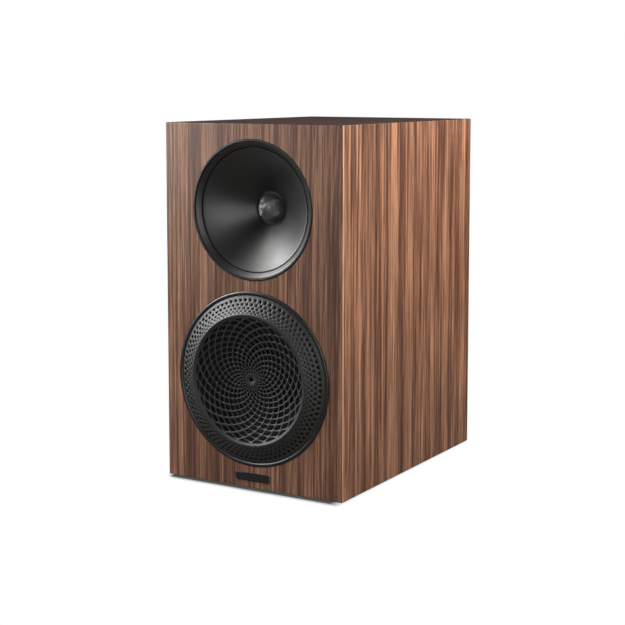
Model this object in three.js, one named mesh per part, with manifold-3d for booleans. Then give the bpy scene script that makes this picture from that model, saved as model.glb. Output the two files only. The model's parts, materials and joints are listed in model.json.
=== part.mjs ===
// Bookshelf speaker: a waveguide tweeter above a woofer with a perforated lens, in a mitred
// wooden cabinet with a rear reflex port and a pair of screw-down binding posts.
// Millimetres, +Z up. The front face of the cabinet is y = 0 and +Y runs to the rear; the
// exported group is moved along Y so that its origin lies under the middle of its box.
import * as THREE from "three";
import { ConvexGeometry } from "three/addons/geometries/ConvexGeometry.js";
import { mergeVertices } from "three/addons/utils/BufferGeometryUtils.js";
import Module from "manifold-3d";

// ---- Driving dimensions ---------------------------------------------------------------

const seam = 0.3; // clearance between two pieces that touch

// Cabinet
const cabinetWidth = 200;
const cabinetHeight = 352;
const cabinetDepth = 276;
const baffleThickness = 20;
const boardThickness = 15; // sides, top, bottom and rear
const braceHeight = 24;
const braceThickness = 18;
const braceSetback = 130; // front face of the cabinet to the brace
const footHeight = 2.5;
const footRadius = 8;
const footInset = 20; // cabinet edge to the foot's centre

// Badge on the baffle
const badgeWidth = 38;
const badgeHeight = 7.8;
const badgeThickness = 0.8;
const badgeCorner = 0.9;
const badgeMargin = 6.9; // cabinet's lower edge to the badge

// Tweeter
const tweeterRadius = 67.5; // trim ring, outside
const tweeterTopMargin = 14.7; // cabinet top to the trim ring
const tweeterBevelWidth = 8.2; // trim ring, lip to horn mouth
const hornMouthDepth = 7;
const hornFlangeThickness = 3.6;
const hornWall = 2.5;
const hornFlare = 0.18; // 0 is a straight cone
const throatRadius = 16;
const throatDepth = 35;
const domeRadius = 12.2;
const domeHeight = 6;
const domeSkin = 0.5;
const guardMargin = 0.2; // guard's radius beyond the dome's
const guardHeight = 8.8;
const guardSkin = 0.6;
const guardFlange = 3.4; // clamped beyond the throat
const tweeterPlateRadius = 36;
const tweeterPlateThickness = 4;
const tweeterMagnetHeight = 8;
const tweeterYokeThickness = 4;
const tweeterChamberRadius = 29;
const tweeterChamberDepth = 16;
const tweeterScrewCount = 3;

// Woofer
const wooferRadius = 85.3; // trim ring, outside
const ringGap = 10.3; // tweeter trim ring to woofer trim ring
const bezelWidth = 3.6;
const bezelProud = 1;
const ledgeWidth = 2.5; // inner step of the trim ring that carries the lens
const lensSheet = 1.4;
const lensRidgeInset = 21.7; // trim ring's outside to the lens's ridge
const lensRidgeProud = 8.3;
const lensCentreProud = 1.4;
const basketSheet = 2.2;
const basketFlangeWidth = 12.5;
const basketDepth = 40; // flange to motor
const screwHeadHeight = 2.1;
const screwHeadRadius = 3.2;
const screwShankRadius = 1.9;
const screwLength = 13;
const wooferScrewCount = 4;
const surroundRollWidth = 9;
const surroundSkin = 0.7;
const glueWidth = 4; // surround's flat rims
const coneDepth = 24;
const coneSkin = 0.9;
const coilRadius = 13.1; // inside of the coil former
const formerSkin = 0.4;
const windingSkin = 0.4;
const coilClearance = 0.6; // coil to the steel on each side
const coneTravel = 5; // each way
const dustCapRadius = 20;
const dustCapHeight = 7;
const spiderRadius = 45;
const wooferPlateRadius = 37;
const wooferPlateThickness = 6;
const wooferMagnetRadius = 43;
const wooferMagnetHeight = 15;
const wooferYokeThickness = 5;
const ventRadius = 4;

// Rear port
const portRadius = 25;
const portWall = 2.5;
const portFlare = 9;
const portFlangeWidth = 7;
const portLength = 120;
const portTopMargin = 88; // cabinet top to the port's centre

// Rear terminals
const plateWidth = 82;
const plateHeight = 104;
const plateThickness = 3;
const plateCorner = 6;
const plateCentre = 100; // cabinet's lower edge to the plate's centre
const plateRim = 9; // plate's overlap on the rear board
const postDrop = 20; // plate's centre to the posts
const studRadius = 3;
const socketRadius = 2;
const knobRadius = 8;
const knobLength = 15;
const knobGap = 3; // between the two knobs
const collarRadius = 6.8;
const collarThickness = 2.5;
const boardSheet = 1.6;
const boardGap = 5; // rear board to the crossover board
const leadRadius = 1.7;

// Facets round a turned piece, by how large it is
const wide = 36;
const middle = 24;
const narrow = 16;
const tiny = 8;

// ---- Derived places --------------------------------------------------------------------

const bottom = footHeight;
const top = bottom + cabinetHeight;
const halfWidth = cabinetWidth / 2;
const insideWidth = cabinetWidth - 2 * boardThickness;
const rear = cabinetDepth;
const rearInside = rear - boardThickness;
const tweeterZ = top - tweeterTopMargin - tweeterRadius;
const wooferZ = tweeterZ - tweeterRadius - ringGap - wooferRadius;
const mitre = seam * Math.SQRT1_2; // how far each mitred board stops short of its corner

// ---- Geometry helpers --------------------------------------------------------------------

const wasm = await Module();
wasm.setup();

// A closed mesh as a solid that can be cut and joined.
function solidOf(geometry) {
  const plain = geometry.clone();
  plain.deleteAttribute("normal");
  plain.deleteAttribute("uv");
  const merged = mergeVertices(plain, 1e-4);
  return new wasm.Manifold(
    new wasm.Mesh({
      numProp: 3,
      vertProperties: merged.getAttribute("position").array,
      triVerts: new Uint32Array(merged.index.array),
    }),
  );
}

function geometryOf(solid) {
  const mesh = solid.getMesh();
  const geometry = new THREE.BufferGeometry();
  geometry.setAttribute("position", new THREE.BufferAttribute(mesh.vertProperties, 3));
  geometry.setIndex(new THREE.BufferAttribute(mesh.triVerts, 1));
  return geometry;
}

function cut(geometry, tools) {
  let solid = solidOf(geometry);
  for (const tool of tools) solid = solid.subtract(solidOf(tool));
  return geometryOf(solid);
}

// Turns a closed outline of [radius, y] points about the Y axis, whichever way round it runs.
function turned(outline, segments) {
  const ring = [...outline, outline[0]];
  let area = 0;
  for (let i = 1; i < ring.length; i++)
    area += ring[i - 1][0] * ring[i][1] - ring[i][0] * ring[i - 1][1];
  if (area < 0) ring.reverse();
  return new THREE.LatheGeometry(ring.map(([r, y]) => new THREE.Vector2(r, y)), segments);
}

function disc(radius, from, to, segments) {
  return turned([[0, from], [radius, from], [radius, to], [0, to]], segments);
}

function washer(inside, outside, from, to, segments) {
  return turned([[inside, from], [outside, from], [outside, to], [inside, to]], segments);
}

// Points of an arc in the [radius, y] plane; angles in degrees, 0 along +radius, 90 along +y.
function arc(centreRadius, centreY, size, from, to, steps) {
  return Array.from({ length: steps + 1 }, (_, i) => {
    const angle = THREE.MathUtils.degToRad(from + ((to - from) * i) / steps);
    return [centreRadius + size * Math.cos(angle), centreY + size * Math.sin(angle)];
  });
}

// Front and back skins of a spherical cap whose apex points to -Y, each from the axis out to
// the flat rim at baseY.
function capSkins(baseRadius, baseY, height, skin, steps) {
  const radius = (baseRadius ** 2 + height ** 2) / (2 * height);
  const centreY = baseY - height + radius;
  const skinTo = (size) => {
    const spread = THREE.MathUtils.radToDeg(Math.acos((centreY - baseY) / size));
    return arc(0, centreY, size, -90, -90 + spread, steps);
  };
  return { front: skinTo(radius), back: skinTo(radius - skin) };
}

function boxBetween([x0, y0, z0], [x1, y1, z1]) {
  return new THREE.BoxGeometry(x1 - x0, y1 - y0, z1 - z0).translate(
    (x0 + x1) / 2,
    (y0 + y1) / 2,
    (z0 + z1) / 2,
  );
}

// A rectangle with rounded corners in the XZ plane, centred on the axis, between two y values.
function roundedPlate(width, height, corner, from, to) {
  const x = width / 2 - corner;
  const z = height / 2 - corner;
  const shape = new THREE.Shape();
  shape.absarc(x, z, corner, 0, Math.PI / 2);
  shape.absarc(-x, z, corner, Math.PI / 2, Math.PI);
  shape.absarc(-x, -z, corner, Math.PI, 1.5 * Math.PI);
  shape.absarc(x, -z, corner, 1.5 * Math.PI, 2 * Math.PI);
  const settings = { depth: to - from, bevelEnabled: false, curveSegments: 3 };
  return new THREE.ExtrudeGeometry(shape, settings).rotateX(Math.PI / 2).translate(0, to, 0);
}

// Points spread evenly on a circle in the XZ plane, the first at an angle from +Z, in degrees.
function aroundAxis(count, radius, first) {
  return Array.from({ length: count }, (_, i) => {
    const angle = THREE.MathUtils.degToRad(first + (360 * i) / count);
    return [radius * Math.sin(angle), radius * Math.cos(angle)];
  });
}

// A screw along +Y whose head's underside is at y.
function screw(y) {
  return turned(
    [
      [0, y - screwHeadHeight],
      [screwHeadRadius * 0.75, y - screwHeadHeight],
      [screwHeadRadius, y - screwHeadHeight * 0.6],
      [screwHeadRadius, y],
      [screwShankRadius, y],
      [screwShankRadius, y + screwLength - 2],
      [0, y + screwLength],
    ],
    tiny,
  );
}

// ---- Scene graph -----------------------------------------------------------------------

const speaker = new THREE.Group();
const cabinet = new THREE.Group();
const tweeter = new THREE.Group();
const woofer = new THREE.Group();
tweeter.position.z = tweeterZ;
woofer.position.z = wooferZ;
speaker.add(cabinet, tweeter, woofer);

const finishes = {
  veneer: [0x6e4f40, 0.5, 0],
  darkVeneer: [0x43373a, 0.55, 0],
  fibreboard: [0x9a7b58, 0.9, 0],
  satinBlack: [0x1c1c1c, 0.4, 0],
  softBlack: [0x151515, 0.75, 0],
  paper: [0x1a1a1a, 0.85, 0],
  cloth: [0x8a7440, 0.95, 0],
  steel: [0x8d8f92, 0.4, 1],
  blackSteel: [0x202022, 0.45, 1],
  ferrite: [0x2b2b2d, 0.75, 0],
  copper: [0xb4703a, 0.35, 1],
  gold: [0xc9a24a, 0.3, 1],
  redPlastic: [0xa01f1c, 0.35, 0],
  greenBoard: [0x2b5a3a, 0.6, 0],
  blueFilm: [0x2c4c86, 0.4, 0],
  wadding: [0xd8d5cc, 0.98, 0],
};

function add(group, name, finish, geometry, x = 0, y = 0, z = 0) {
  const [color, roughness, metalness] = finishes[finish];
  const material = new THREE.MeshStandardMaterial({ color, roughness, metalness });
  const mesh = new THREE.Mesh(geometry, material);
  mesh.name = name;
  mesh.position.set(x, y, z);
  group.add(mesh);
}

// ---- Cabinet ---------------------------------------------------------------------------

// Everything that is let into the baffle, as y values measured from its front face.
const bezelBack = screwHeadHeight + seam + 3.3;
const basketFront = bezelBack + seam;
const basketBack = basketFront + basketSheet;
const wooferRebate = basketBack + seam;
const basketInside = wooferRadius - seam - basketFlangeWidth;
const wooferCutout = basketInside + seam;
const wooferScrewRadius = wooferRadius - 5.8;

const hornMouth = tweeterRadius - tweeterBevelWidth;
const hornFlangeFront = hornMouthDepth + 1;
const hornFlangeBack = hornFlangeFront + hornFlangeThickness;
const tweeterRebate = hornFlangeBack + seam;
const hornBodyRadius = hornMouth - 2;
const tweeterCutout = hornBodyRadius + seam;
const tweeterScrewRadius = (hornMouth + tweeterRadius) / 2 - 0.4;

const portZ = top - portTopMargin;
const terminalZ = bottom + plateCentre;
const boardWidth = plateWidth - 2 * plateRim - 4;
const boardHeight = plateHeight - 2 * plateRim - 4;

// A board between an outer and an inner rectangle, each given by two opposite corners.
function mitredBoard(outer, inner) {
  const corners = [];
  for (const [low, high] of [outer, inner])
    for (const i of [0, 1])
      for (const j of [0, 1]) {
        const flat = low.findIndex((value, axis) => value === high[axis]);
        const [first, second] = [0, 1, 2].filter((axis) => axis !== flat);
        const point = [...low];
        point[first] = i ? high[first] : low[first];
        point[second] = j ? high[second] : low[second];
        corners.push(new THREE.Vector3(...point));
      }
  return new ConvexGeometry(corners);
}

function addBaffle() {
  const x = halfWidth - mitre;
  const back = x - boardThickness;
  const blank = mitredBoard(
    [[-x, 0, bottom + mitre], [x, 0, top - mitre]],
    [
      [-back, baffleThickness, bottom + boardThickness + mitre],
      [back, baffleThickness, top - boardThickness - mitre],
    ],
  );
  const past = baffleThickness + 1;
  const hole = screwShankRadius + seam;
  const tools = [
    disc(tweeterRadius + seam, -1, tweeterRebate, wide).translate(0, 0, tweeterZ),
    disc(tweeterCutout, -1, past, wide).translate(0, 0, tweeterZ),
    disc(wooferRadius + seam, -1, wooferRebate, wide).translate(0, 0, wooferZ),
    disc(wooferCutout, -1, past, wide).translate(0, 0, wooferZ),
    ...aroundAxis(tweeterScrewCount, tweeterScrewRadius, 60).map(([sx, sz]) =>
      disc(hole, -1, past, tiny).translate(sx, 0, tweeterZ + sz),
    ),
    ...aroundAxis(wooferScrewCount, wooferScrewRadius, 45).map(([sx, sz]) =>
      disc(hole, -1, past, tiny).translate(sx, 0, wooferZ + sz),
    ),
  ];
  add(cabinet, "front_baffle", "veneer", cut(blank, tools));
}

function addCarcass() {
  const front = baffleThickness + mitre;
  const innerX = halfWidth - boardThickness;
  for (const [side, name] of [[-1, "left_panel"], [1, "right_panel"]]) {
    const outer = [
      [side * halfWidth, mitre, bottom + mitre],
      [side * halfWidth, rear, top - mitre],
    ];
    const inner = [
      [side * innerX, front, bottom + boardThickness + mitre],
      [side * innerX, rear, top - boardThickness - mitre],
    ];
    add(cabinet, name, "veneer", mitredBoard(outer, inner));
  }
  for (const [z, inward, name] of [[top, -1, "top_panel"], [bottom, 1, "bottom_panel"]]) {
    const innerZ = z + inward * boardThickness;
    const outer = [[-halfWidth + mitre, mitre, z], [halfWidth - mitre, rear, z]];
    const inner = [[-innerX + mitre, front, innerZ], [innerX - mitre, rear, innerZ]];
    add(cabinet, name, "darkVeneer", mitredBoard(outer, inner));
  }
  const braceX = insideWidth / 2 - seam;
  const braceZ = wooferZ + wooferRadius;
  const brace = boxBetween(
    [-braceX, braceSetback, braceZ],
    [braceX, braceSetback + braceThickness, braceZ + braceHeight],
  );
  add(cabinet, "cross_brace", "fibreboard", brace);
}

// Places of the four screws that hold the terminal plate, measured from its centre.
const plateScrews = [-1, 1].flatMap((sx) =>
  [-1, 1].map((sz) => [
    sx * (plateWidth / 2 - plateRim / 2),
    sz * (plateHeight / 2 - plateRim / 2),
  ]),
);

function addRearPanel() {
  const x = insideWidth / 2 - seam;
  const blank = boxBetween(
    [-x, rearInside, bottom + boardThickness + seam],
    [x, rear, top - boardThickness - seam],
  );
  const portHole = portRadius + portFlare + seam;
  const opening = roundedPlate(
    plateWidth - 2 * plateRim,
    plateHeight - 2 * plateRim,
    plateCorner / 2,
    rearInside - 1,
    rear + 1,
  ).translate(0, 0, terminalZ);
  const tools = [
    disc(portHole, rearInside - 1, rear + 1, middle).translate(0, 0, portZ),
    opening,
    ...plateScrews.map(([sx, sz]) =>
      disc(screwShankRadius + seam, rear - screwLength, rear + 1, tiny).translate(sx, 0, terminalZ + sz),
    ),
  ];
  add(cabinet, "rear_panel", "softBlack", cut(blank, tools));
}

function addFeetAndBadge() {
  const foot = turned(
    [
      [0, 0],
      [footRadius * 0.9, 0],
      [footRadius, footHeight * 0.3],
      [footRadius, footHeight - seam],
      [0, footHeight - seam],
    ],
    narrow,
  ).rotateX(Math.PI / 2);
  const x = halfWidth - footInset;
  for (const [side, left] of [["left", -1], ["right", 1]])
    for (const [end, y] of [["front", footInset], ["rear", rear - footInset]])
      add(cabinet, `foot_${end}_${side}`, "softBlack", foot, left * x, y, 0);
  const badge = roundedPlate(badgeWidth, badgeHeight, badgeCorner, -seam - badgeThickness, -seam);
  add(cabinet, "badge_plate", "satinBlack", badge, 0, 0, bottom + badgeMargin + badgeHeight / 2);
}

// ---- Tweeter ---------------------------------------------------------------------------

const guardFlangeFront = throatDepth + seam;
const guardFlangeBack = guardFlangeFront + guardSkin;
const guardRadius = domeRadius + guardMargin;
const domeRollInner = domeRadius + 0.6;
const domeRollOuter = throatRadius + 0.4;
const domeRoll = (domeRollOuter - domeRollInner) / 2;
const surroundFront = guardFlangeBack + domeRoll + 0.6; // flat rims of the dome's surround
const surroundBack = surroundFront + 0.4;
const tweeterPlateFront = surroundBack + seam;
const tweeterPlateBack = tweeterPlateFront + tweeterPlateThickness;
const tweeterMagnetBack = tweeterPlateBack + seam + tweeterMagnetHeight;
const tweeterYokeFront = tweeterMagnetBack + seam;
const tweeterYokeBack = tweeterYokeFront + tweeterYokeThickness;

// Front surface of the horn, from the mouth to the throat.
function hornSurface(steps) {
  return Array.from({ length: steps + 1 }, (_, i) => {
    const t = i / steps;
    const depth = (1 - hornFlare) * t + hornFlare * t * t;
    return [
      hornMouth + (throatRadius - hornMouth) * t,
      hornMouthDepth + (throatDepth - hornMouthDepth) * depth,
    ];
  });
}

function addTweeterFront() {
  const lip = tweeterRadius - 1.6;
  const ringBack = hornFlangeFront - seam;
  const ring = turned(
    [
      [tweeterRadius, 0.1],
      [tweeterRadius - 0.5, -0.4],
      [lip, -0.4],
      [lip - 0.5, 0.4],
      [hornMouth + tweeterBevelWidth * 0.4, 2.6],
      [hornMouth + seam + 0.2, hornMouthDepth - 0.6],
      [hornMouth + seam, ringBack],
      [tweeterRadius, ringBack],
    ],
    wide,
  );
  add(tweeter, "tweeter_trim_ring", "satinBlack", ring);

  const bossRadius = tweeterPlateRadius - 2;
  const bossBack = tweeterPlateFront - seam;
  const pocket = throatRadius + guardFlange + seam;
  const behind = hornSurface(4)
    .map(([r, y]) => [r + hornWall * 0.4, y + hornWall])
    .filter(([r, y]) => r < hornBodyRadius && r > bossRadius && y > hornFlangeBack)
    .reverse();
  const horn = turned(
    [
      [tweeterRadius - seam, hornFlangeFront],
      [hornMouth, hornFlangeFront],
      ...hornSurface(4),
      [pocket, throatDepth],
      [pocket, bossBack],
      [bossRadius, bossBack],
      ...behind,
      [hornBodyRadius, hornFlangeBack],
      [tweeterRadius - seam, hornFlangeBack],
    ],
    wide,
  );
  const screws = aroundAxis(tweeterScrewCount, tweeterScrewRadius, 60);
  const headSeat = hornFlangeFront + seam + screwHeadHeight;
  const drilled = cut(
    horn,
    screws.flatMap(([sx, sz]) => [
      disc(screwHeadRadius + seam, hornFlangeFront - 0.5, headSeat + seam, tiny).translate(sx, 0, sz),
      disc(screwShankRadius + seam, hornFlangeFront, hornFlangeBack + 1, tiny).translate(sx, 0, sz),
    ]),
  );
  add(tweeter, "tweeter_waveguide", "satinBlack", drilled);
  screws.forEach(([sx, sz], i) =>
    add(tweeter, `tweeter_screw_${i + 1}`, "blackSteel", screw(headSeat), sx, 0, sz),
  );

  const skins = capSkins(guardRadius, guardFlangeFront, guardHeight, guardSkin, 4);
  const guard = [
    ...skins.front,
    [throatRadius + guardFlange, guardFlangeFront],
    [throatRadius + guardFlange, guardFlangeBack],
    [skins.back.at(-1)[0], guardFlangeBack],
    ...skins.back.slice(0, -1).reverse(),
  ];
  add(tweeter, "tweeter_mesh_guard", "blackSteel", turned(guard, middle));
}

function addTweeterMotor() {
  const dome = capSkins(domeRadius, surroundFront - seam, domeHeight, domeSkin, 4);
  const domeOutline = [...dome.front, ...dome.back.reverse()];
  add(tweeter, "tweeter_dome", "softBlack", turned(domeOutline, middle));

  const rollCentre = domeRollInner + domeRoll;
  const surround = [
    [domeRadius - 0.4, surroundFront],
    ...arc(rollCentre, surroundFront, domeRoll, 180, 360, 3),
    [domeRollOuter + 2, surroundFront],
    [domeRollOuter + 2, surroundBack],
    ...arc(rollCentre, surroundBack, domeRoll, 360, 180, 3),
    [domeRadius - 0.4, surroundBack],
  ];
  add(tweeter, "tweeter_surround", "softBlack", turned(surround, middle));

  const coilTop = surroundBack + seam;
  const coilInside = domeRadius + 0.3;
  const coilOutside = coilInside + 0.6;
  const coilBack = tweeterPlateBack + 1.5;
  add(tweeter, "tweeter_voice_coil", "copper", washer(coilInside, coilOutside, coilTop, coilBack, middle));

  const gapRadius = coilOutside + 0.5;
  const plate = washer(gapRadius, tweeterPlateRadius, tweeterPlateFront, tweeterPlateBack, middle);
  add(tweeter, "tweeter_front_plate", "steel", plate);
  const magnetFront = tweeterPlateBack + seam;
  const magnet = washer(gapRadius + 3, tweeterPlateRadius - 1, magnetFront, tweeterMagnetBack, middle);
  add(tweeter, "tweeter_magnet", "ferrite", magnet);

  const pole = coilInside - 0.5;
  const vent = 3;
  const yoke = turned(
    [
      [vent, tweeterPlateFront],
      [pole, tweeterPlateFront],
      [pole, tweeterYokeFront],
      [tweeterPlateRadius - 2, tweeterYokeFront],
      [tweeterPlateRadius - 2, tweeterYokeBack],
      [vent, tweeterYokeBack],
    ],
    middle,
  );
  add(tweeter, "tweeter_yoke", "steel", yoke);

  const capFront = tweeterYokeBack + seam;
  const chamber = turned(
    [
      [tweeterChamberRadius, capFront],
      [tweeterChamberRadius, capFront + tweeterChamberDepth - 3],
      [tweeterChamberRadius - 3, capFront + tweeterChamberDepth],
      [0, capFront + tweeterChamberDepth],
      [0, capFront + tweeterChamberDepth - 2],
      [tweeterChamberRadius - 4, capFront + tweeterChamberDepth - 2],
      [tweeterChamberRadius - 2, capFront + tweeterChamberDepth - 4],
      [tweeterChamberRadius - 2, capFront],
    ],
    middle,
  );
  add(tweeter, "tweeter_rear_chamber", "softBlack", chamber);
}

// ---- Woofer ----------------------------------------------------------------------------

const lensRadius = wooferRadius - bezelWidth - seam;
const lensRidge = wooferRadius - lensRidgeInset;
const gluePlane = basketFront - seam; // back of the surround's rims
const rimFront = gluePlane - surroundSkin;
const coneFront = gluePlane + seam;
const coneRadius = basketInside - surroundRollWidth - seam;
const formerOutside = coilRadius + formerSkin;
const windingOutside = formerOutside + windingSkin;
const gapRadius = windingOutside + coilClearance;
const spiderPlane = basketFront + basketDepth * 0.78;
const motorFront = basketFront + basketDepth + basketSheet + seam;
const wooferPlateBack = motorFront + wooferPlateThickness;
const wooferMagnetFront = wooferPlateBack + seam;
const wooferMagnetBack = wooferMagnetFront + wooferMagnetHeight;
const wooferYokeFront = wooferMagnetBack + seam;
const wooferYokeBack = wooferYokeFront + wooferYokeThickness;

function addTrimRing() {
  const inner = wooferRadius - bezelWidth;
  const ledge = inner - ledgeWidth;
  const ledgeFront = lensSheet + seam;
  const wall = wooferRadius - 1.7;
  const ledgeBack = bezelBack - screwHeadHeight - seam;
  const ring = turned(
    [
      [wooferRadius, -bezelProud * 0.3],
      [wooferRadius - bezelWidth * 0.3, -bezelProud],
      [inner + bezelWidth * 0.3, -bezelProud],
      [inner, -bezelProud * 0.3],
      [inner, ledgeFront],
      [ledge, ledgeFront],
      [ledge, ledgeBack],
      [wall, ledgeBack],
      [wall, bezelBack],
      [wooferRadius, bezelBack],
    ],
    wide,
  );
  add(woofer, "woofer_trim_ring", "satinBlack", ring);
}

// Front surface of the lens from its edge over the ridge and down the dish to the axis.
function lensSurface() {
  const shoulder = 1.1;
  const dishEdge = lensRidge - 2.4;
  const dishProud = lensRidgeProud - 1.2;
  const slope = [lensRadius - 1.2, -0.6];
  const dish = [1, 0.75, 0.5, 0.25].map((t) => [
    dishEdge * t,
    -lensCentreProud - (dishProud - lensCentreProud) * t * t,
  ]);
  return [
    [lensRadius, 0],
    slope,
    [lensRidge + shoulder, -lensRidgeProud + 0.45],
    [lensRidge, -lensRidgeProud],
    [lensRidge - shoulder, -lensRidgeProud + 0.35],
    ...dish,
    [0, -lensCentreProud],
  ];
}

function addLens() {
  const front = lensSurface();
  const back = front.map(([r, y], i) => [i ? r : lensRadius, y + lensSheet]).reverse();
  add(woofer, "woofer_lens", "satinBlack", turned([...front, ...back], wide));
}

function addBasket() {
  const outside = wooferRadius - seam;
  const shelfFront = spiderPlane + seam + 0.7;
  const shelfInside = spiderRadius - 6;
  const floorFront = basketFront + basketDepth;
  const floorBack = floorFront + basketSheet;
  const neck = basketInside - 2;
  const shell = turned(
    [
      [outside, basketFront],
      [basketInside, basketFront],
      [neck, basketFront + 3],
      [spiderRadius + 2, shelfFront],
      [shelfInside, shelfFront],
      [wooferPlateRadius - 3, floorFront],
      [gapRadius + 3, floorFront],
      [gapRadius + 3, floorBack],
      [wooferPlateRadius - 1.6, floorBack],
      [shelfInside + 1.6, shelfFront + basketSheet],
      [spiderRadius + 3.6, shelfFront + basketSheet],
      [neck + 1.8, basketBack + 2],
      [basketInside, basketBack],
      [outside, basketBack],
    ],
    wide,
  );
  const window = boxBetween(
    [-14, basketBack + 4, spiderRadius - 12],
    [14, shelfFront - 3, wooferRadius],
  );
  const hole = screwShankRadius + seam;
  const tools = [
    ...[30, 90, 150, 210, 270, 330].map((angle) =>
      window.clone().rotateY(THREE.MathUtils.degToRad(angle)),
    ),
    ...aroundAxis(wooferScrewCount, wooferScrewRadius, 45).map(([sx, sz]) =>
      disc(hole, basketFront - 1, basketBack + 1, tiny).translate(sx, 0, sz),
    ),
  ];
  add(woofer, "woofer_basket", "blackSteel", cut(shell, tools));
  aroundAxis(wooferScrewCount, wooferScrewRadius, 45).forEach(([sx, sz], i) =>
    add(woofer, `woofer_screw_${i + 1}`, "blackSteel", screw(basketFront - seam), sx, 0, sz),
  );
  const strip = boxBetween(
    [-10, shelfFront + basketSheet + seam, shelfInside + 4],
    [10, shelfFront + basketSheet + seam + 2, shelfInside + 18],
  );
  add(woofer, "woofer_terminal_strip", "fibreboard", strip);
}

function addDiaphragm() {
  const roll = surroundRollWidth / 2;
  const rollCentre = basketInside - seam - roll;
  const inside = rollCentre - roll;
  const outside = rollCentre + roll;
  const surround = [
    [inside - glueWidth, rimFront],
    ...arc(rollCentre, rimFront, roll, 180, 360, 4),
    [outside + glueWidth, rimFront],
    [outside + glueWidth, gluePlane],
    ...arc(rollCentre, gluePlane, roll - surroundSkin * 0.3, 360, 180, 4),
    [inside - glueWidth, gluePlane],
  ];
  add(woofer, "woofer_surround", "softBlack", turned(surround, wide));

  const neck = formerOutside + seam;
  const shoulder = coneRadius - glueWidth;
  const wall = [0, 0.5, 1].map((t) => [
    shoulder + (neck - shoulder) * t,
    coneFront + coneDepth * (0.85 * t + 0.15 * t * t),
  ]);
  const cone = [
    [coneRadius, coneFront],
    ...wall,
    ...wall.map(([r, y]) => [r, y + coneSkin * 1.2]).reverse(),
    [coneRadius, coneFront + coneSkin],
  ];
  add(woofer, "woofer_cone", "paper", turned(cone, wide));

  const t = (shoulder - dustCapRadius) / (shoulder - neck);
  const seat = coneFront + coneDepth * (0.85 * t + 0.15 * t * t) - seam;
  const cap = capSkins(dustCapRadius, seat, dustCapHeight, coneSkin, 4);
  add(woofer, "woofer_dust_cap", "paper", turned([...cap.front, ...cap.back.reverse()], middle));

  const coneBack = coneFront + coneDepth;
  const windingHalf = wooferPlateThickness / 2 + coneTravel;
  const plateMiddle = (motorFront + wooferPlateBack) / 2;
  const coil = turned(
    [
      [coilRadius, coneBack - 2],
      [formerOutside, coneBack - 2],
      [formerOutside, plateMiddle - windingHalf],
      [windingOutside, plateMiddle - windingHalf],
      [windingOutside, plateMiddle + windingHalf],
      [coilRadius, plateMiddle + windingHalf],
    ],
    middle,
  );
  add(woofer, "woofer_voice_coil", "copper", coil);

  const ripple = 1.4;
  const rings = 4;
  const first = formerOutside + seam;
  const wave = Array.from({ length: 2 * rings + 1 }, (_, i) => [
    first + ((spiderRadius - 5 - first) * i) / (2 * rings),
    spiderPlane - ripple * (i % 2),
  ]);
  const upper = [...wave, [spiderRadius, spiderPlane]];
  const lower = upper.map(([r, y]) => [r, y + 0.7]).reverse();
  add(woofer, "woofer_spider", "cloth", turned([...upper, ...lower], middle));
}

function addWooferMotor() {
  const plate = washer(gapRadius, wooferPlateRadius, motorFront, wooferPlateBack, middle);
  add(woofer, "woofer_front_plate", "steel", plate);
  const bore = gapRadius + 5;
  const magnet = washer(bore, wooferMagnetRadius, wooferMagnetFront, wooferMagnetBack, middle);
  add(woofer, "woofer_magnet", "ferrite", magnet);
  const pole = coilRadius - coilClearance;
  const yoke = turned(
    [
      [ventRadius, motorFront - 1],
      [pole, motorFront - 1],
      [pole, wooferYokeFront],
      [wooferPlateRadius + 1, wooferYokeFront],
      [wooferPlateRadius + 1, wooferYokeBack],
      [ventRadius, wooferYokeBack],
    ],
    middle,
  );
  add(woofer, "woofer_yoke", "steel", yoke);
}

// ---- Rear: port and terminals --------------------------------------------------------------

const plateBack = rear + seam + plateThickness;
const collarBack = plateBack + seam + collarThickness;
const knobFront = collarBack + seam;
const knobBack = knobFront + knobLength;
const studBack = knobBack + 1.5;
const boardBack = rearInside - boardGap;
const boardFront = boardBack - boardSheet;
const portBack = rear + seam + 2;

function addPort() {
  const bend = portRadius + portFlare;
  const bendY = portBack - portFlare;
  const inner = portBack - portLength;
  const tube = turned(
    [
      [portRadius + portWall, inner],
      [portRadius + portWall * 0.5, inner - 1.2],
      [portRadius, inner],
      ...arc(bend, bendY, portFlare, 180, 90, 3),
      [bend + portFlangeWidth - 1, portBack],
      [bend + portFlangeWidth, portBack - 0.8],
      [bend + portFlangeWidth, rear + seam],
      [bend, rear + seam],
      ...arc(bend, bendY, portFlare - portWall, 90, 180, 3),
    ],
    middle,
  );
  add(cabinet, "port_tube", "softBlack", tube, 0, 0, portZ);
}

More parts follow.
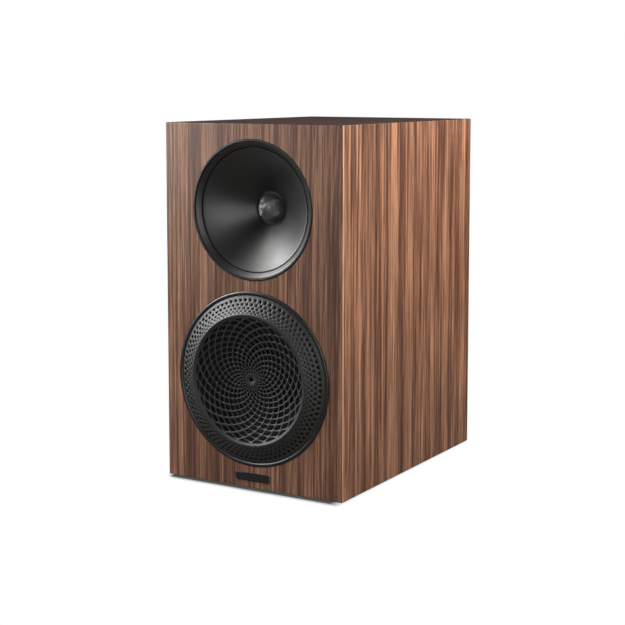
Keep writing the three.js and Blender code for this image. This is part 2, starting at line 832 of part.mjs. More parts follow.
function addTerminals() {
  const blank = roundedPlate(plateWidth, plateHeight, plateCorner, rear + seam, plateBack);
  const postX = knobRadius + knobGap / 2;
  const posts = [[-postX, "black"], [postX, "red"]];
  const studHoles = (from, to) =>
    posts.map(([x]) => disc(studRadius + seam, from, to, narrow).translate(x, 0, -postDrop));
  const plate = cut(blank, [
    ...studHoles(rear - 1, plateBack + 1),
    ...plateScrews.map(([sx, sz]) =>
      disc(screwShankRadius + seam, rear - 1, plateBack + 1, tiny).translate(sx, 0, sz),
    ),
  ]);
  add(cabinet, "terminal_plate", "softBlack", plate, 0, 0, terminalZ);
  plateScrews.forEach(([sx, sz], i) => {
    const turnedRound = screw(0).rotateX(Math.PI);
    const seat = plateBack + seam;
    add(cabinet, `terminal_screw_${i + 1}`, "blackSteel", turnedRound, sx, seat, terminalZ + sz);
  });

  const socketFloor = studBack - 16;
  const stud = turned(
    [
      [0, boardFront - 3],
      [studRadius, boardFront - 3],
      [studRadius, studBack],
      [socketRadius, studBack],
      [socketRadius, socketFloor],
      [0, socketFloor],
    ],
    narrow,
  );
  const bore = studRadius + seam;
  const knob = turned(
    [
      [bore, knobFront],
      [knobRadius - 0.8, knobFront],
      [knobRadius, knobFront + 0.8],
      [knobRadius, knobBack - 2],
      [knobRadius - 1.6, knobBack],
      [bore, knobBack],
    ],
    narrow,
  );
  const collar = washer(bore, collarRadius, plateBack + seam, collarBack, narrow);
  for (const [x, colour] of posts) {
    const z = terminalZ - postDrop;
    const plastic = colour === "red" ? "redPlastic" : "satinBlack";
    add(cabinet, `${colour}_post_stud`, "gold", stud, x, 0, z);
    add(cabinet, `${colour}_post_collar`, "gold", collar, x, 0, z);
    add(cabinet, `${colour}_post_knob`, plastic, knob, x, 0, z);
  }

  const board = cut(
    boxBetween(
      [-boardWidth / 2, boardFront, -boardHeight / 2],
      [boardWidth / 2, boardBack, boardHeight / 2],
    ),
    studHoles(boardFront - 1, boardBack + 1),
  );
  add(cabinet, "crossover_board", "greenBoard", board, 0, 0, terminalZ);
}

// Components on the crossover board, standing on its inner face.
function addComponents() {
  const face = boardFront - seam;
  const large = washer(6, 15, face - 14, face, middle);
  add(cabinet, "inductor_large", "copper", large, -13, 0, terminalZ + 20);
  const small = washer(4, 8.5, face - 10, face, narrow);
  add(cabinet, "inductor_small", "copper", small, 19, 0, terminalZ + 21);
  const can = disc(7, -15, 15, narrow).rotateX(Math.PI / 2);
  add(cabinet, "capacitor", "blueFilm", can, 21, face - 7, terminalZ - 4);
}

// ---- Inside: leads and wadding -------------------------------------------------------------

// A lead of two bonded wires through points given by hand; its ends stop at the first and last.
function lead(points) {
  const path = new THREE.CatmullRomCurve3(points.map((p) => new THREE.Vector3(...p)));
  const section = new THREE.Shape();
  for (let i = 0; i < 8; i++) {
    const angle = (Math.PI * (i + 0.5)) / 4;
    const [u, v] = [leadRadius * Math.cos(angle), leadRadius * Math.sin(angle)];
    if (i) section.lineTo(u, v);
    else section.moveTo(u, v);
  }
  return new THREE.ExtrudeGeometry(section, { steps: 20, bevelEnabled: false, extrudePath: path });
}

function addLeadsAndWadding() {
  const strip = wooferZ + spiderRadius + 10;
  const stripBack = spiderPlane + seam + 0.7 + basketSheet + seam + 2;
  const start = stripBack + seam + leadRadius;
  const end = boardFront - seam - leadRadius;
  const wooferLead = lead([
    [-4, start, strip],
    [-14, start + 14, strip + 2],
    [-40, 90, strip - 4],
    [-58, 130, strip - 16],
    [-52, 185, strip - 40],
    [-36, end - 22, terminalZ + 12],
    [-24, end, terminalZ - 6],
  ]);
  add(cabinet, "woofer_lead", "softBlack", wooferLead);
  const tweeterLead = lead([
    [34, tweeterPlateFront + 12, tweeterZ - 24],
    [44, tweeterPlateFront + 26, tweeterZ - 34],
    [54, 100, wooferZ + wooferRadius + 34],
    [60, 160, wooferZ + wooferRadius + 34],
    [50, 210, wooferZ + wooferRadius - 10],
    [24, end - 20, terminalZ + 52],
    [4, end, terminalZ + 38],
  ]);
  add(cabinet, "tweeter_lead", "softBlack", tweeterLead);

  const floor = bottom + boardThickness + seam;
  const padX = insideWidth / 2 - 8;
  const padFront = wooferYokeBack + 12;
  const pad = boxBetween([-padX, padFront, floor], [padX, rearInside - 32, floor + 30]);
  add(cabinet, "acoustic_wadding", "wadding", pad);
}

addBaffle();
addCarcass();
addRearPanel();
addFeetAndBadge();
addTweeterFront();
addTweeterMotor();
addTrimRing();
addLens();
addBasket();
addDiaphragm();
addWooferMotor();
addPort();
addTerminals();
addComponents();
addLeadsAndWadding();

const foremost = -lensRidgeProud;
const hindmost = studBack;
speaker.position.y = -(foremost + hindmost) / 2;

export default new THREE.Group().add(speaker);
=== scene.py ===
import json
import math
import random

import bmesh
import bpy
from bpy.props import FloatProperty, FloatVectorProperty, IntProperty, PointerProperty
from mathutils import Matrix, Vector
from mathutils.geometry import delaunay_2d_cdt


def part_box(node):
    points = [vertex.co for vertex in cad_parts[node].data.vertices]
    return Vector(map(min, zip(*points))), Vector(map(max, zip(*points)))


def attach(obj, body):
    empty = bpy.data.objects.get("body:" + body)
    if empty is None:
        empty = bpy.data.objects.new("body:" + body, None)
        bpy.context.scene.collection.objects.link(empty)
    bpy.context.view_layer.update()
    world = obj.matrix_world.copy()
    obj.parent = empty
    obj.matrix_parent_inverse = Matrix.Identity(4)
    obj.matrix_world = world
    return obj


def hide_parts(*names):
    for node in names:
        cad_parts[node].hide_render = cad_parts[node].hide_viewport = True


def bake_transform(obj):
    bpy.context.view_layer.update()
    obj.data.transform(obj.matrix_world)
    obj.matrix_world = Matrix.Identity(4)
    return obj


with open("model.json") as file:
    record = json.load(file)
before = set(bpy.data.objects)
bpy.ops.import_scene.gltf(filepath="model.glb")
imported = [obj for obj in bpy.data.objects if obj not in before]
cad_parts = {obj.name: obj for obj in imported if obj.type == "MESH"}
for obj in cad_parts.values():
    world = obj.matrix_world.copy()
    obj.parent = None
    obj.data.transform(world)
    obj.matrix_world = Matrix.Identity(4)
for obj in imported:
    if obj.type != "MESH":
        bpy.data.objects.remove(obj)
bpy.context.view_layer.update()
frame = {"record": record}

bl_info = {
    "name": "Bookshelf speaker",
    "version": (1, 0, 0),
    "blender": (4, 5, 0),
    "location": "3D View > Sidebar > Speaker",
    "description": "Builds the finished surfaces of a bookshelf speaker round its solids",
    "category": "Add Mesh",
}

# ---- Places taken from the frame ----------------------------------------------------------

MM = 0.001
FLAT_CREASE = 18  # degrees; keeps a board's big faces flat
TURN = 2 * math.pi
RECORD = frame["record"]
BODY_OF = {n: body for body, nodes in RECORD["behaviour"]["bodies"].items() for n in nodes}
SLOT_OF = {part["node"]: part["material_slot"] for part in RECORD["subparts"]}
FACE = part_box("front_baffle")[0].y  # the cabinet's front face, in metres
CABINET_LOW = Vector((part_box("left_panel")[0].x, FACE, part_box("bottom_panel")[0].z))
CABINET_HIGH = Vector((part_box("right_panel")[1].x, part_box("rear_panel")[1].y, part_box("top_panel")[1].z))


def axis_of(node):
    """Row-frame point where a turned node's axis meets the cabinet's front face."""
    low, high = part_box(node)
    return Vector(((low.x + high.x) / 2, FACE, (low.z + high.z) / 2))


def reach(node):
    """Outside radius, front and back of a turned node, in millimetres from the front face."""
    low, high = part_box(node)
    return (high.x - low.x) / 2 / MM, (low.y - FACE) / MM, (high.y - FACE) / MM


# ---- Settings that a user would change ------------------------------------------------------

def colour_property(name, description, default):
    return FloatVectorProperty(
        name=name, description=description, default=default, subtype="COLOR", min=0, max=1,
    )


def length_property(name, description, default):
    return FloatProperty(name=name, description=description, default=default, unit="LENGTH", min=0)


def power_property(name, description, default):
    return FloatProperty(name=name, description=description, default=default, unit="POWER")


class VeneerSettings(bpy.types.PropertyGroup):
    light: colour_property("Light wood", "Colour between the growth lines", (0.41, 0.212, 0.126))
    middle: colour_property("Middle wood", "Colour of most of the veneer", (0.128, 0.057, 0.033))
    dark: colour_property("Dark wood", "Colour of the growth lines", (0.036, 0.014, 0.009))
    dark_board: colour_property("Top and base", "Colour of the dark veneer", (0.044, 0.031, 0.029))
    ring: length_property("Growth ring", "Width of one growth ring", 0.0040)
    edge: length_property("Edge softness", "Radius of the sanded edges", 0.0005)


class LensSettings(bpy.types.PropertyGroup):
    spokes: IntProperty(name="Openings in a row", description="Diamond openings round the dish", default=24)
    rows: IntProperty(name="Rows", description="Rows of diamond openings", default=16)
    rim_holes: IntProperty(name="Rim holes", description="Round holes in each outer row", default=86)
    hub_rib: length_property("Rib at the hub", "Width of the ribs beside the hub", 0.00075)
    edge_rib: length_property("Rib at the edge", "Width of the ribs beside the ridge", 0.00135)


class StageSettings(bpy.types.PropertyGroup):
    focal: FloatProperty(name="Lens", description="Focal length in millimetres", default=82.28)
    key_power: power_property("Key light", "Softbox at the upper left", 8)
    side_power: power_property("Side light", "Softbox on the right", 8.4)
    front_power: power_property("Front light", "Softbox near the camera", 11)
    back_power: power_property("Back light", "Softbox behind", 9)
    sheen_power: power_property("Sheen light", "Softbox low on the left", 6)
    room: FloatProperty(name="Room light", description="Strength of the even light", default=0.035)


# ---- Mesh building ---------------------------------------------------------------------------

def band(one, other):
    """Faces between two rings of point numbers; a ring of one point makes a fan."""
    count = max(len(one), len(other))
    if count == 1:
        return []
    faces = []
    for i in range(count):
        j = (i + 1) % count
        corners = [one[i % len(one)], one[j % len(one)], other[j % len(other)], other[i % len(other)]]
        faces.append(list(dict.fromkeys(corners)))
    return faces


def softened(outline, fillet, closed=True, steps=3):
    """A [radius, depth] outline with a curve in each corner; a third number is its own fillet."""
    corners = [Vector(point[:2]) for point in outline]
    smooth = []
    for i, corner in enumerate(corners):
        size = outline[i][2] if len(outline[i]) > 2 else fillet
        if corner.x < 1e-6 or (not closed and i in (0, len(corners) - 1)):
            smooth.append(corner)
            continue
        before = corners[i - 1] - corner
        after = corners[(i + 1) % len(corners)] - corner
        angle = before.angle(after)
        if angle > math.radians(166) or size <= 0:
            smooth.append(corner)
            continue
        run = min(size / math.tan(angle / 2), before.length * 0.45, after.length * 0.45)
        start = corner + before.normalized() * run
        end = corner + after.normalized() * run
        for step in range(steps + 1):
            t = step / steps
            smooth.append(start.lerp(corner, t).lerp(corner.lerp(end, t), t))
    return smooth


def turned(outline, steps=128, fillet=0.3, closed=True, shape=None):
    """Points and faces of an outline turned about the Y axis; shape(radius, y, angle) may bend it."""
    points, rings, faces = [], [], []
    for radius, y in softened(outline, fillet, closed):
        count = steps if radius > 1e-6 else 1
        rings.append(list(range(len(points), len(points) + count)))
        for i in range(count):
            angle = TURN * i / steps
            size = shape(radius, y, angle) if shape and count > 1 else radius
            points.append((size * math.sin(angle), y, size * math.cos(angle)))
    for i in range(len(rings) - (0 if closed else 1)):
        faces += band(rings[i], rings[(i + 1) % len(rings)])
    return points, faces


def arc(centre_radius, centre_y, size, start, end, steps):
    """Points of an arc in the [radius, y] plane; degrees, 0 along the radius and 90 to the rear."""
    angles = [math.radians(start + (end - start) * i / steps) for i in range(steps + 1)]
    return [(centre_radius + size * math.cos(a), centre_y + size * math.sin(a)) for a in angles]


def cap_outline(base_radius, base_y, height, skin, steps=14):
    """Outline of a thin spherical cap whose apex points to the front."""
    radius = (base_radius ** 2 + height ** 2) / (2 * height)
    centre = base_y - height + radius

    def skin_arc(size):
        spread = math.degrees(math.acos((centre - base_y) / size))
        return arc(0, centre, size, -90, -90 + spread, steps)

    front = skin_arc(radius)
    back = skin_arc(radius - skin)
    front[0] = (0, front[0][1])
    back[0] = (0, back[0][1])
    return front + back[::-1]


def rounded_rectangle(low, high, corner, steps=5):
    """Points round a rectangle with rounded corners, from two opposite corners."""
    centres = [
        (high[0] - corner, high[1] - corner, 0),
        (low[0] + corner, high[1] - corner, 90),
        (low[0] + corner, low[1] + corner, 180),
        (high[0] - corner, low[1] + corner, 270),
    ]
    return [point for u, v, start in centres for point in arc(u, v, corner, start, start + 90, steps)]


def circle(u, v, radius, steps=96):
    turns = [TURN * i / steps for i in range(steps)]
    return [(u + radius * math.sin(turn), v + radius * math.cos(turn)) for turn in turns]


def inside(point, loop):
    """True if a point is inside a closed loop."""
    crossings = 0
    for one, other in zip(loop, loop[1:] + loop[:1]):
        if (one.y > point.y) != (other.y > point.y):
            at = one.x + (other.x - one.x) * (point.y - one.y) / (other.y - one.y)
            crossings += at > point.x
    return crossings % 2 == 1


def filled(loops, guides=()):
    """Points and triangles of the sheet inside the first loop and outside the others, with guides as
    closed lines that its triangles follow; the points come in the order given."""
    flat, owner, lines = [], [], []
    for number, loop in enumerate([*loops, *guides]):
        first = len(flat)
        flat += [Vector(point) for point in loop]
        owner += [number if number < len(loops) else 0] * len(loop)
        lines += [(first + i, first + (i + 1) % len(loop)) for i in range(len(loop))]
    found, _, faces, sources, _, _ = delaunay_2d_cdt(flat, lines, [], 0, 1e-9, True)
    if len(found) != len(flat):
        raise RuntimeError("a sheet's outlines cross")
    number = [ids[0] for ids in sources]
    kept = []
    for face in faces:
        corners = [number[i] for i in face]
        owners = {owner[i] for i in corners}
        if len(owners) == 1:
            middle = sum((flat[i] for i in corners), Vector((0, 0))) / 3
            home = owners.pop()
            within = inside(middle, [Vector(point) for point in loops[home]])
            if within == (home > 0):
                continue
        kept.append(corners)
    return flat, kept


def slab(low, high, rings, corner=0.6, holes=(), corner_steps=5):
    """Points and faces of a plate in (u, v, depth). rings are (inset, depth) from its front face to its
    back, where an inset is one number or (left, right, low, high); each hole is a list of (loop, depth)."""
    points, loops = [], []

    def add_loop(loop, depth):
        loops.append(list(range(len(points), len(points) + len(loop))))
        points.extend((u, v, depth) for u, v in loop)
        return loops[-1]

    faces = []
    outer = []
    for inset, depth in rings:
        left, right, down, up = inset if isinstance(inset, tuple) else (inset,) * 4
        start = (low[0] + left, low[1] + down)
        end = (high[0] - right, high[1] - up)
        loop = rounded_rectangle(start, end, max(0.1, corner - max(left, right, down, up)), corner_steps)
        outer.append((add_loop(loop, depth), loop))
    inner = [[(add_loop(loop, depth), loop) for loop, depth in hole] for hole in holes]
    for walls in [outer, *inner]:
        for (one, _), (other, _) in zip(walls, walls[1:]):
            faces += band(one, other)
    for end in (0, -1):
        numbers = outer[end][0] + [i for walls in inner for i in walls[end][0]]
        _, sheet = filled([outer[end][1], *(walls[end][1] for walls in inner)])
        faces += [[numbers[i] for i in face] for face in sheet]
    return points, faces


def swept(path, radius, sides=8):
    """Points and faces of a round rod along a path, closed at both ends."""
    path = [Vector(point) for point in path]
    points, rings, faces = [], [], []
    heading = (path[1] - path[0]).normalized()
    side = heading.orthogonal().normalized()
    for i, place in enumerate(path):
        ahead = (path[min(i + 1, len(path) - 1)] - path[max(i - 1, 0)]).normalized()
        side = (side - ahead * side.dot(ahead)).normalized()
        other = ahead.cross(side)
        rings.append(list(range(len(points), len(points) + sides)))
        for k in range(sides):
            angle = TURN * k / sides
            points.append(place + (side * math.cos(angle) + other * math.sin(angle)) * radius)
    for one, two in zip(rings, rings[1:]):
        faces += band(one, two)
    return points, faces + [rings[0][::-1], rings[-1]]


def joined(*parts):
    """One list of points and faces from several."""
    points, faces = [], []
    for more_points, more_faces in parts:
        offset = len(points)
        points += list(more_points)
        faces += [[i + offset for i in face] for face in more_faces]
    return points, faces


def smooth_route(points, per_span=12):
    """Points along a smooth curve through given points."""
    ends = [points[0], *points, points[-1]]
    route = []
    for a, b, c, d in zip(ends, ends[1:], ends[2:], ends[3:]):
        a, b, c, d = Vector(a), Vector(b), Vector(c), Vector(d)
        for step in range(per_span):
            t = step / per_span
            linear = (c - a) * t
            square = (a * 2 - b * 5 + c * 4 - d) * t ** 2
            cube = (b * 3 - c * 3 + d - a) * t ** 3
            route.append((b * 2 + linear + square + cube) / 2)
    return route + [Vector(points[-1])]


def new_piece(name, shape, node, at=None, finish=None, stands_for=True, body=None, crease=35):
    """A smooth-shaded mesh object from points in millimetres that rides on a node's body."""
    points, faces = shape
    origin = Vector((0, FACE, 0)) if at is None else at
    mesh = bpy.data.meshes.new(name)
    mesh.from_pydata([origin + Vector(point) * MM for point in points], [], faces)
    work = bmesh.new()
    work.from_mesh(mesh)
    bmesh.ops.recalc_face_normals(work, faces=work.faces)
    work.to_mesh(mesh)
    work.free()
    mesh.shade_smooth()
    mesh.set_sharp_from_angle(angle=math.radians(crease))
    mesh.materials.append(finish or look(SLOT_OF[node]))
    piece = bpy.data.objects.new(name, mesh)
    bpy.context.scene.collection.objects.link(piece)
    if body != "blend":
        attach(piece, BODY_OF[node])
    if stands_for:
        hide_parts(node)
    return piece


def new_turned(name, outline, node, **settings):
    """A turned piece on its node's own axis."""
    shaping = {key: settings.pop(key) for key in ("steps", "fillet", "closed", "shape") if key in settings}
    return new_piece(name, turned(outline, **shaping), node, at=axis_of(node), **settings)


def upright(shape):
    """Turns a slab's (u, v, depth) into (x, y, z) with its front towards -Y."""
    points, faces = shape
    return [(u, depth, v) for u, v, depth in points], faces


# ---- Node building ---------------------------------------------------------------------------

def put(tree, kind, inputs=None, **settings):
    """Adds a shader node; inputs maps a socket's name or number to a value or to a socket."""
    node = tree.nodes.new(kind)
    for name, value in settings.items():
        setattr(node, name, value)
    for key, value in (inputs or {}).items():
        if isinstance(value, bpy.types.NodeSocket):
            tree.links.new(value, node.inputs[key])
        else:
            node.inputs[key].default_value = value
    return node


def calc(tree, operation, *values, clamp=False):
    inputs = dict(enumerate(values))
    return put(tree, "ShaderNodeMath", inputs, operation=operation, use_clamp=clamp).outputs[0]


def spread(tree, value, low, high, to_low=0.0, to_high=1.0):
    """Maps a value's range low to high onto another, and keeps it there."""
    numbers = {0: value, 1: low, 2: high, 3: to_low, 4: to_high}
    return put(tree, "ShaderNodeMapRange", numbers, clamp=True).outputs[0]


def stretched(tree, vector, x, y, z):
    return put(tree, "ShaderNodeVectorMath", {0: vector, 1: (x, y, z)}, operation="MULTIPLY").outputs[0]


def noise(tree, vector, scale=1.0, detail=2.0, roughness=0.5):
    values = {"Vector": vector, "Scale": scale, "Detail": detail, "Roughness": roughness}
    return put(tree, "ShaderNodeTexNoise", values).outputs[0]


def line_noise(tree, position, detail=2.0, roughness=0.5):
    values = {"W": position, "Scale": 1.0, "Detail": detail, "Roughness": roughness}
    return put(tree, "ShaderNodeTexNoise", values, noise_dimensions="1D").outputs[0]


def mixed(tree, share, one, other, blend="MIX"):
    values = {0: share, 6: one, 7: other}
    return put(tree, "ShaderNodeMix", values, data_type="RGBA", blend_type=blend).outputs[2]


def new_group(name, inputs, outputs):
    """An empty shader node group with named sockets; inputs maps a name to its kind and default."""
    tree = bpy.data.node_groups.new(name, "ShaderNodeTree")
    for title, (kind, value) in inputs.items():
        socket = tree.interface.new_socket(title, in_out="INPUT", socket_type="NodeSocket" + kind)
        if value is not None:
            socket.default_value = value
    for title, kind in outputs.items():
        tree.interface.new_socket(title, in_out="OUTPUT", socket_type="NodeSocket" + kind)
    return tree, tree.nodes.new("NodeGroupInput").outputs, tree.nodes.new("NodeGroupOutput").inputs


def use_group(tree, name, inputs):
    """Places a shared group in a material, making the group the first time it is asked for."""
    group = bpy.data.node_groups.get(name) or GROUPS[name]()
    node = put(tree, "ShaderNodeGroup", node_tree=group)
    for key, value in inputs.items():
        if isinstance(value, bpy.types.NodeSocket):
            tree.links.new(value, node.inputs[key])
        else:
            node.inputs[key].default_value = value
    return node.outputs


def new_material(name, constants):
    """A material with a Principled shader whose constant sockets are set."""
    made = bpy.data.materials.new(name)
    made.use_nodes = True
    tree = made.node_tree
    tree.nodes.clear()
    shader = put(tree, "ShaderNodeBsdfPrincipled", constants)
    put(tree, "ShaderNodeOutputMaterial", {"Surface": shader.outputs[0]})
    return made, tree, shader


def place_of(tree):
    return put(tree, "ShaderNodeTexCoord").outputs["Object"]


def add_bump(tree, shader, height, distance, strength=1.0):
    values = {"Height": height, "Distance": distance, "Strength": strength}
    tree.links.new(put(tree, "ShaderNodeBump", values).outputs[0], shader.inputs["Normal"])


# ---- Shared effects ----------------------------------------------------------------------------

def veneer_figure():
    """Growth lines round a heart line, fibres and pores. Place is (across, into the board, along)."""
    inputs = {
        "Place": ("Vector", None),
        "Seed": ("Float", 0.0),
        "Heart": ("Float", 0.0),
        "Cover": ("Float", 0.05),
        "Taper": ("Float", 0.1),
        "Ring": ("Float", 0.006),
        "Wander": ("Float", 0.02),
        "Light": ("Color", (0.4, 0.24, 0.16, 1)),
        "Middle": ("Color", (0.22, 0.12, 0.07, 1)),
        "Dark": ("Color", (0.07, 0.03, 0.02, 1)),
    }
    outputs = {"Colour": "Color", "Roughness": "Float", "Height": "Float"}
    tree, given, out = new_group("veneer_figure", inputs, outputs)
    shift = put(tree, "ShaderNodeCombineXYZ", {0: given["Seed"], 1: given["Seed"], 2: given["Seed"]})
    both = {0: given["Place"], 1: shift.outputs[0]}
    seeded = put(tree, "ShaderNodeVectorMath", both, operation="ADD").outputs[0]
    parts = put(tree, "ShaderNodeSeparateXYZ", {0: given["Place"]}).outputs
    slow = calc(tree, "SUBTRACT", noise(tree, stretched(tree, seeded, 7, 7, 2.2)), 0.5)
    quick = calc(tree, "SUBTRACT", noise(tree, stretched(tree, seeded, 46, 46, 11), detail=3), 0.5)
    sway = calc(tree, "MULTIPLY", calc(tree, "MULTIPLY_ADD", quick, 0.16, slow), given["Wander"])
    across = calc(tree, "ADD", calc(tree, "SUBTRACT", parts[0], given["Heart"]), sway)
    deep = calc(tree, "MULTIPLY_ADD", parts[2], given["Taper"], given["Cover"])
    squares = [calc(tree, "POWER", side, 2.0) for side in (across, deep)]
    from_heart = calc(tree, "SQRT", calc(tree, "ADD", *squares))
    first_ring = calc(tree, "MULTIPLY", given["Seed"], 17.0)
    rings = calc(tree, "ADD", calc(tree, "DIVIDE", from_heart, given["Ring"]), first_ring)
    growth = spread(tree, line_noise(tree, rings, 3.0, 0.62), 0.3, 0.7)
    broad = spread(tree, line_noise(tree, calc(tree, "MULTIPLY", rings, 0.23), 1.0), 0.32, 0.68)
    streaks = noise(tree, stretched(tree, seeded, 520, 520, 7.5), detail=4, roughness=0.74)
    streak = spread(tree, streaks, 0.36, 0.64)
    patch = spread(tree, noise(tree, stretched(tree, seeded, 22, 22, 5), detail=2), 0.3, 0.7)
    fibre = noise(tree, stretched(tree, seeded, 1250, 1250, 26), detail=2)
    pores = spread(tree, noise(tree, stretched(tree, seeded, 2600, 2600, 105), detail=1), 0.60, 0.70)
    tone = calc(tree, "MULTIPLY", growth, 0.21)
    tone = calc(tree, "MULTIPLY_ADD", broad, 0.22, tone)
    tone = calc(tree, "MULTIPLY_ADD", streak, 0.45, tone)
    tone = calc(tree, "MULTIPLY_ADD", patch, 0.12, tone)
    dark_to_middle = mixed(tree, spread(tree, tone, 0.22, 0.50), given["Dark"], given["Middle"])
    wood = mixed(tree, spread(tree, tone, 0.46, 0.78), dark_to_middle, given["Light"])
    shaded = mixed(tree, spread(tree, fibre, 0.38, 0.62, 0.0, 0.42), wood, given["Dark"])
    tree.links.new(mixed(tree, calc(tree, "MULTIPLY", pores, 0.45), shaded, given["Dark"]), out["Colour"])
    shine = spread(tree, calc(tree, "MULTIPLY_ADD", tone, 0.5, fibre), 0.4, 1.1, 0.52, 0.38)
    tree.links.new(shine, out["Roughness"])
    tree.links.new(calc(tree, "SUBTRACT", calc(tree, "MULTIPLY_ADD", tone, 0.6, fibre), pores), out["Height"])
    return tree


def painted_edge_highlight():
    """A painted highlight: a soft pale line of a given width beside an edge at a known coordinate, broken up
    a little. It stands for the glint on a rounded edge, and partly for a paler sanded edge.
    """
    inputs = {
        "Coordinate": ("Float", 0.0),
        "Edge": ("Float", 0.0),
        "Width": ("Float", 0.003),
        "Place": ("Vector", None),
    }
    tree, given, out = new_group("painted_edge_highlight", inputs, {"Mask": "Float"})
    away = calc(tree, "ABSOLUTE", calc(tree, "SUBTRACT", given["Coordinate"], given["Edge"]))
    near = calc(tree, "SUBTRACT", 1.0, calc(tree, "DIVIDE", away, given["Width"]), clamp=True)
    ragged = spread(tree, noise(tree, stretched(tree, given["Place"], 300, 300, 24)), 0.3, 0.6, 0.45, 1.0)
    tree.links.new(calc(tree, "MULTIPLY", calc(tree, "POWER", near, 0.6), ragged), out["Mask"])
    return tree


def fine_grain():
    """Fine surface grain and slow mottling at a chosen size."""
    inputs = {"Place": ("Vector", None), "Size": ("Float", 0.0005)}
    outputs = {"Grain": "Float", "Mottle": "Float"}
    tree, given, out = new_group("fine_grain", inputs, outputs)
    scale = calc(tree, "DIVIDE", 1.0, given["Size"])
    tree.links.new(spread(tree, noise(tree, given["Place"], scale, 3.0), 0.3, 0.7), out["Grain"])
    tree.links.new(spread(tree, noise(tree, given["Place"], 38.0, 4.0, 0.6), 0.32, 0.68), out["Mottle"])
    return tree


def edge_wear():
    """Where outer edges have rubbed, from the curve of the surface."""
    inputs = {"Place": ("Vector", None), "Amount": ("Float", 0.3)}
    tree, given, out = new_group("edge_wear", inputs, {"Wear": "Float"})
    curve = put(tree, "ShaderNodeNewGeometry").outputs["Pointiness"]
    ragged = spread(tree, noise(tree, given["Place"], 420.0, 4.0, 0.7), 0.35, 0.65)
    rubbed = calc(tree, "MULTIPLY", spread(tree, curve, 0.505, 0.56), ragged)
    tree.links.new(calc(tree, "MULTIPLY", rubbed, given["Amount"]), out["Wear"])
    return tree


def settled_dust():
    """Faint dust on what faces up."""
    inputs = {"Place": ("Vector", None), "Amount": ("Float", 0.1)}
    tree, given, out = new_group("settled_dust", inputs, {"Dust": "Float"})
    facing = put(tree, "ShaderNodeNewGeometry").outputs["Normal"]
    upward = put(tree, "ShaderNodeSeparateXYZ", {0: facing}).outputs[2]
    specks = spread(tree, noise(tree, given["Place"], 900.0, 4.0, 0.7), 0.4, 0.75)
    uneven = calc(tree, "MULTIPLY_ADD", specks, 0.7, 0.3)
    lying = calc(tree, "MULTIPLY", spread(tree, upward, 0.3, 1.0), uneven)
    tree.links.new(calc(tree, "MULTIPLY", lying, given["Amount"]), out["Dust"])
    return tree


def plain_weave():
    """Crossing threads of a given pitch in the XZ plane. Shade is uneven thread tone plus painted shade,
    darker where the threads dip.
    """
    inputs = {"Place": ("Vector", None), "Pitch": ("Float", 0.0006)}
    outputs = {"Thread": "Float", "Shade": "Float"}
    tree, given, out = new_group("plain_weave", inputs, outputs)
    parts = put(tree, "ShaderNodeSeparateXYZ", {0: given["Place"]}).outputs
    rate = calc(tree, "DIVIDE", TURN, given["Pitch"])
    waves = [calc(tree, "SINE", calc(tree, "MULTIPLY", parts[i], rate)) for i in (0, 2)]
    crossing = calc(tree, "MULTIPLY", *waves)
    tree.links.new(spread(tree, crossing, -1.0, 1.0), out["Thread"])
    uneven = spread(tree, noise(tree, given["Place"], 700.0, 3.0), 0.3, 0.7)
    # Painted shade: the colour darkens where the threads dip between crossings.
    painted_dip_shade = spread(tree, crossing, -1.0, 1.0, 0.0, 0.5)
    tree.links.new(calc(tree, "MULTIPLY_ADD", uneven, 0.5, painted_dip_shade), out["Shade"])
    return tree


GROUPS = {
    "veneer_figure": veneer_figure,
    "painted_edge_highlight": painted_edge_highlight,
    "fine_grain": fine_grain,
    "edge_wear": edge_wear,
    "settled_dust": settled_dust,
    "plain_weave": plain_weave,
}

# ---- Materials -----------------------------------------------------------------------------------

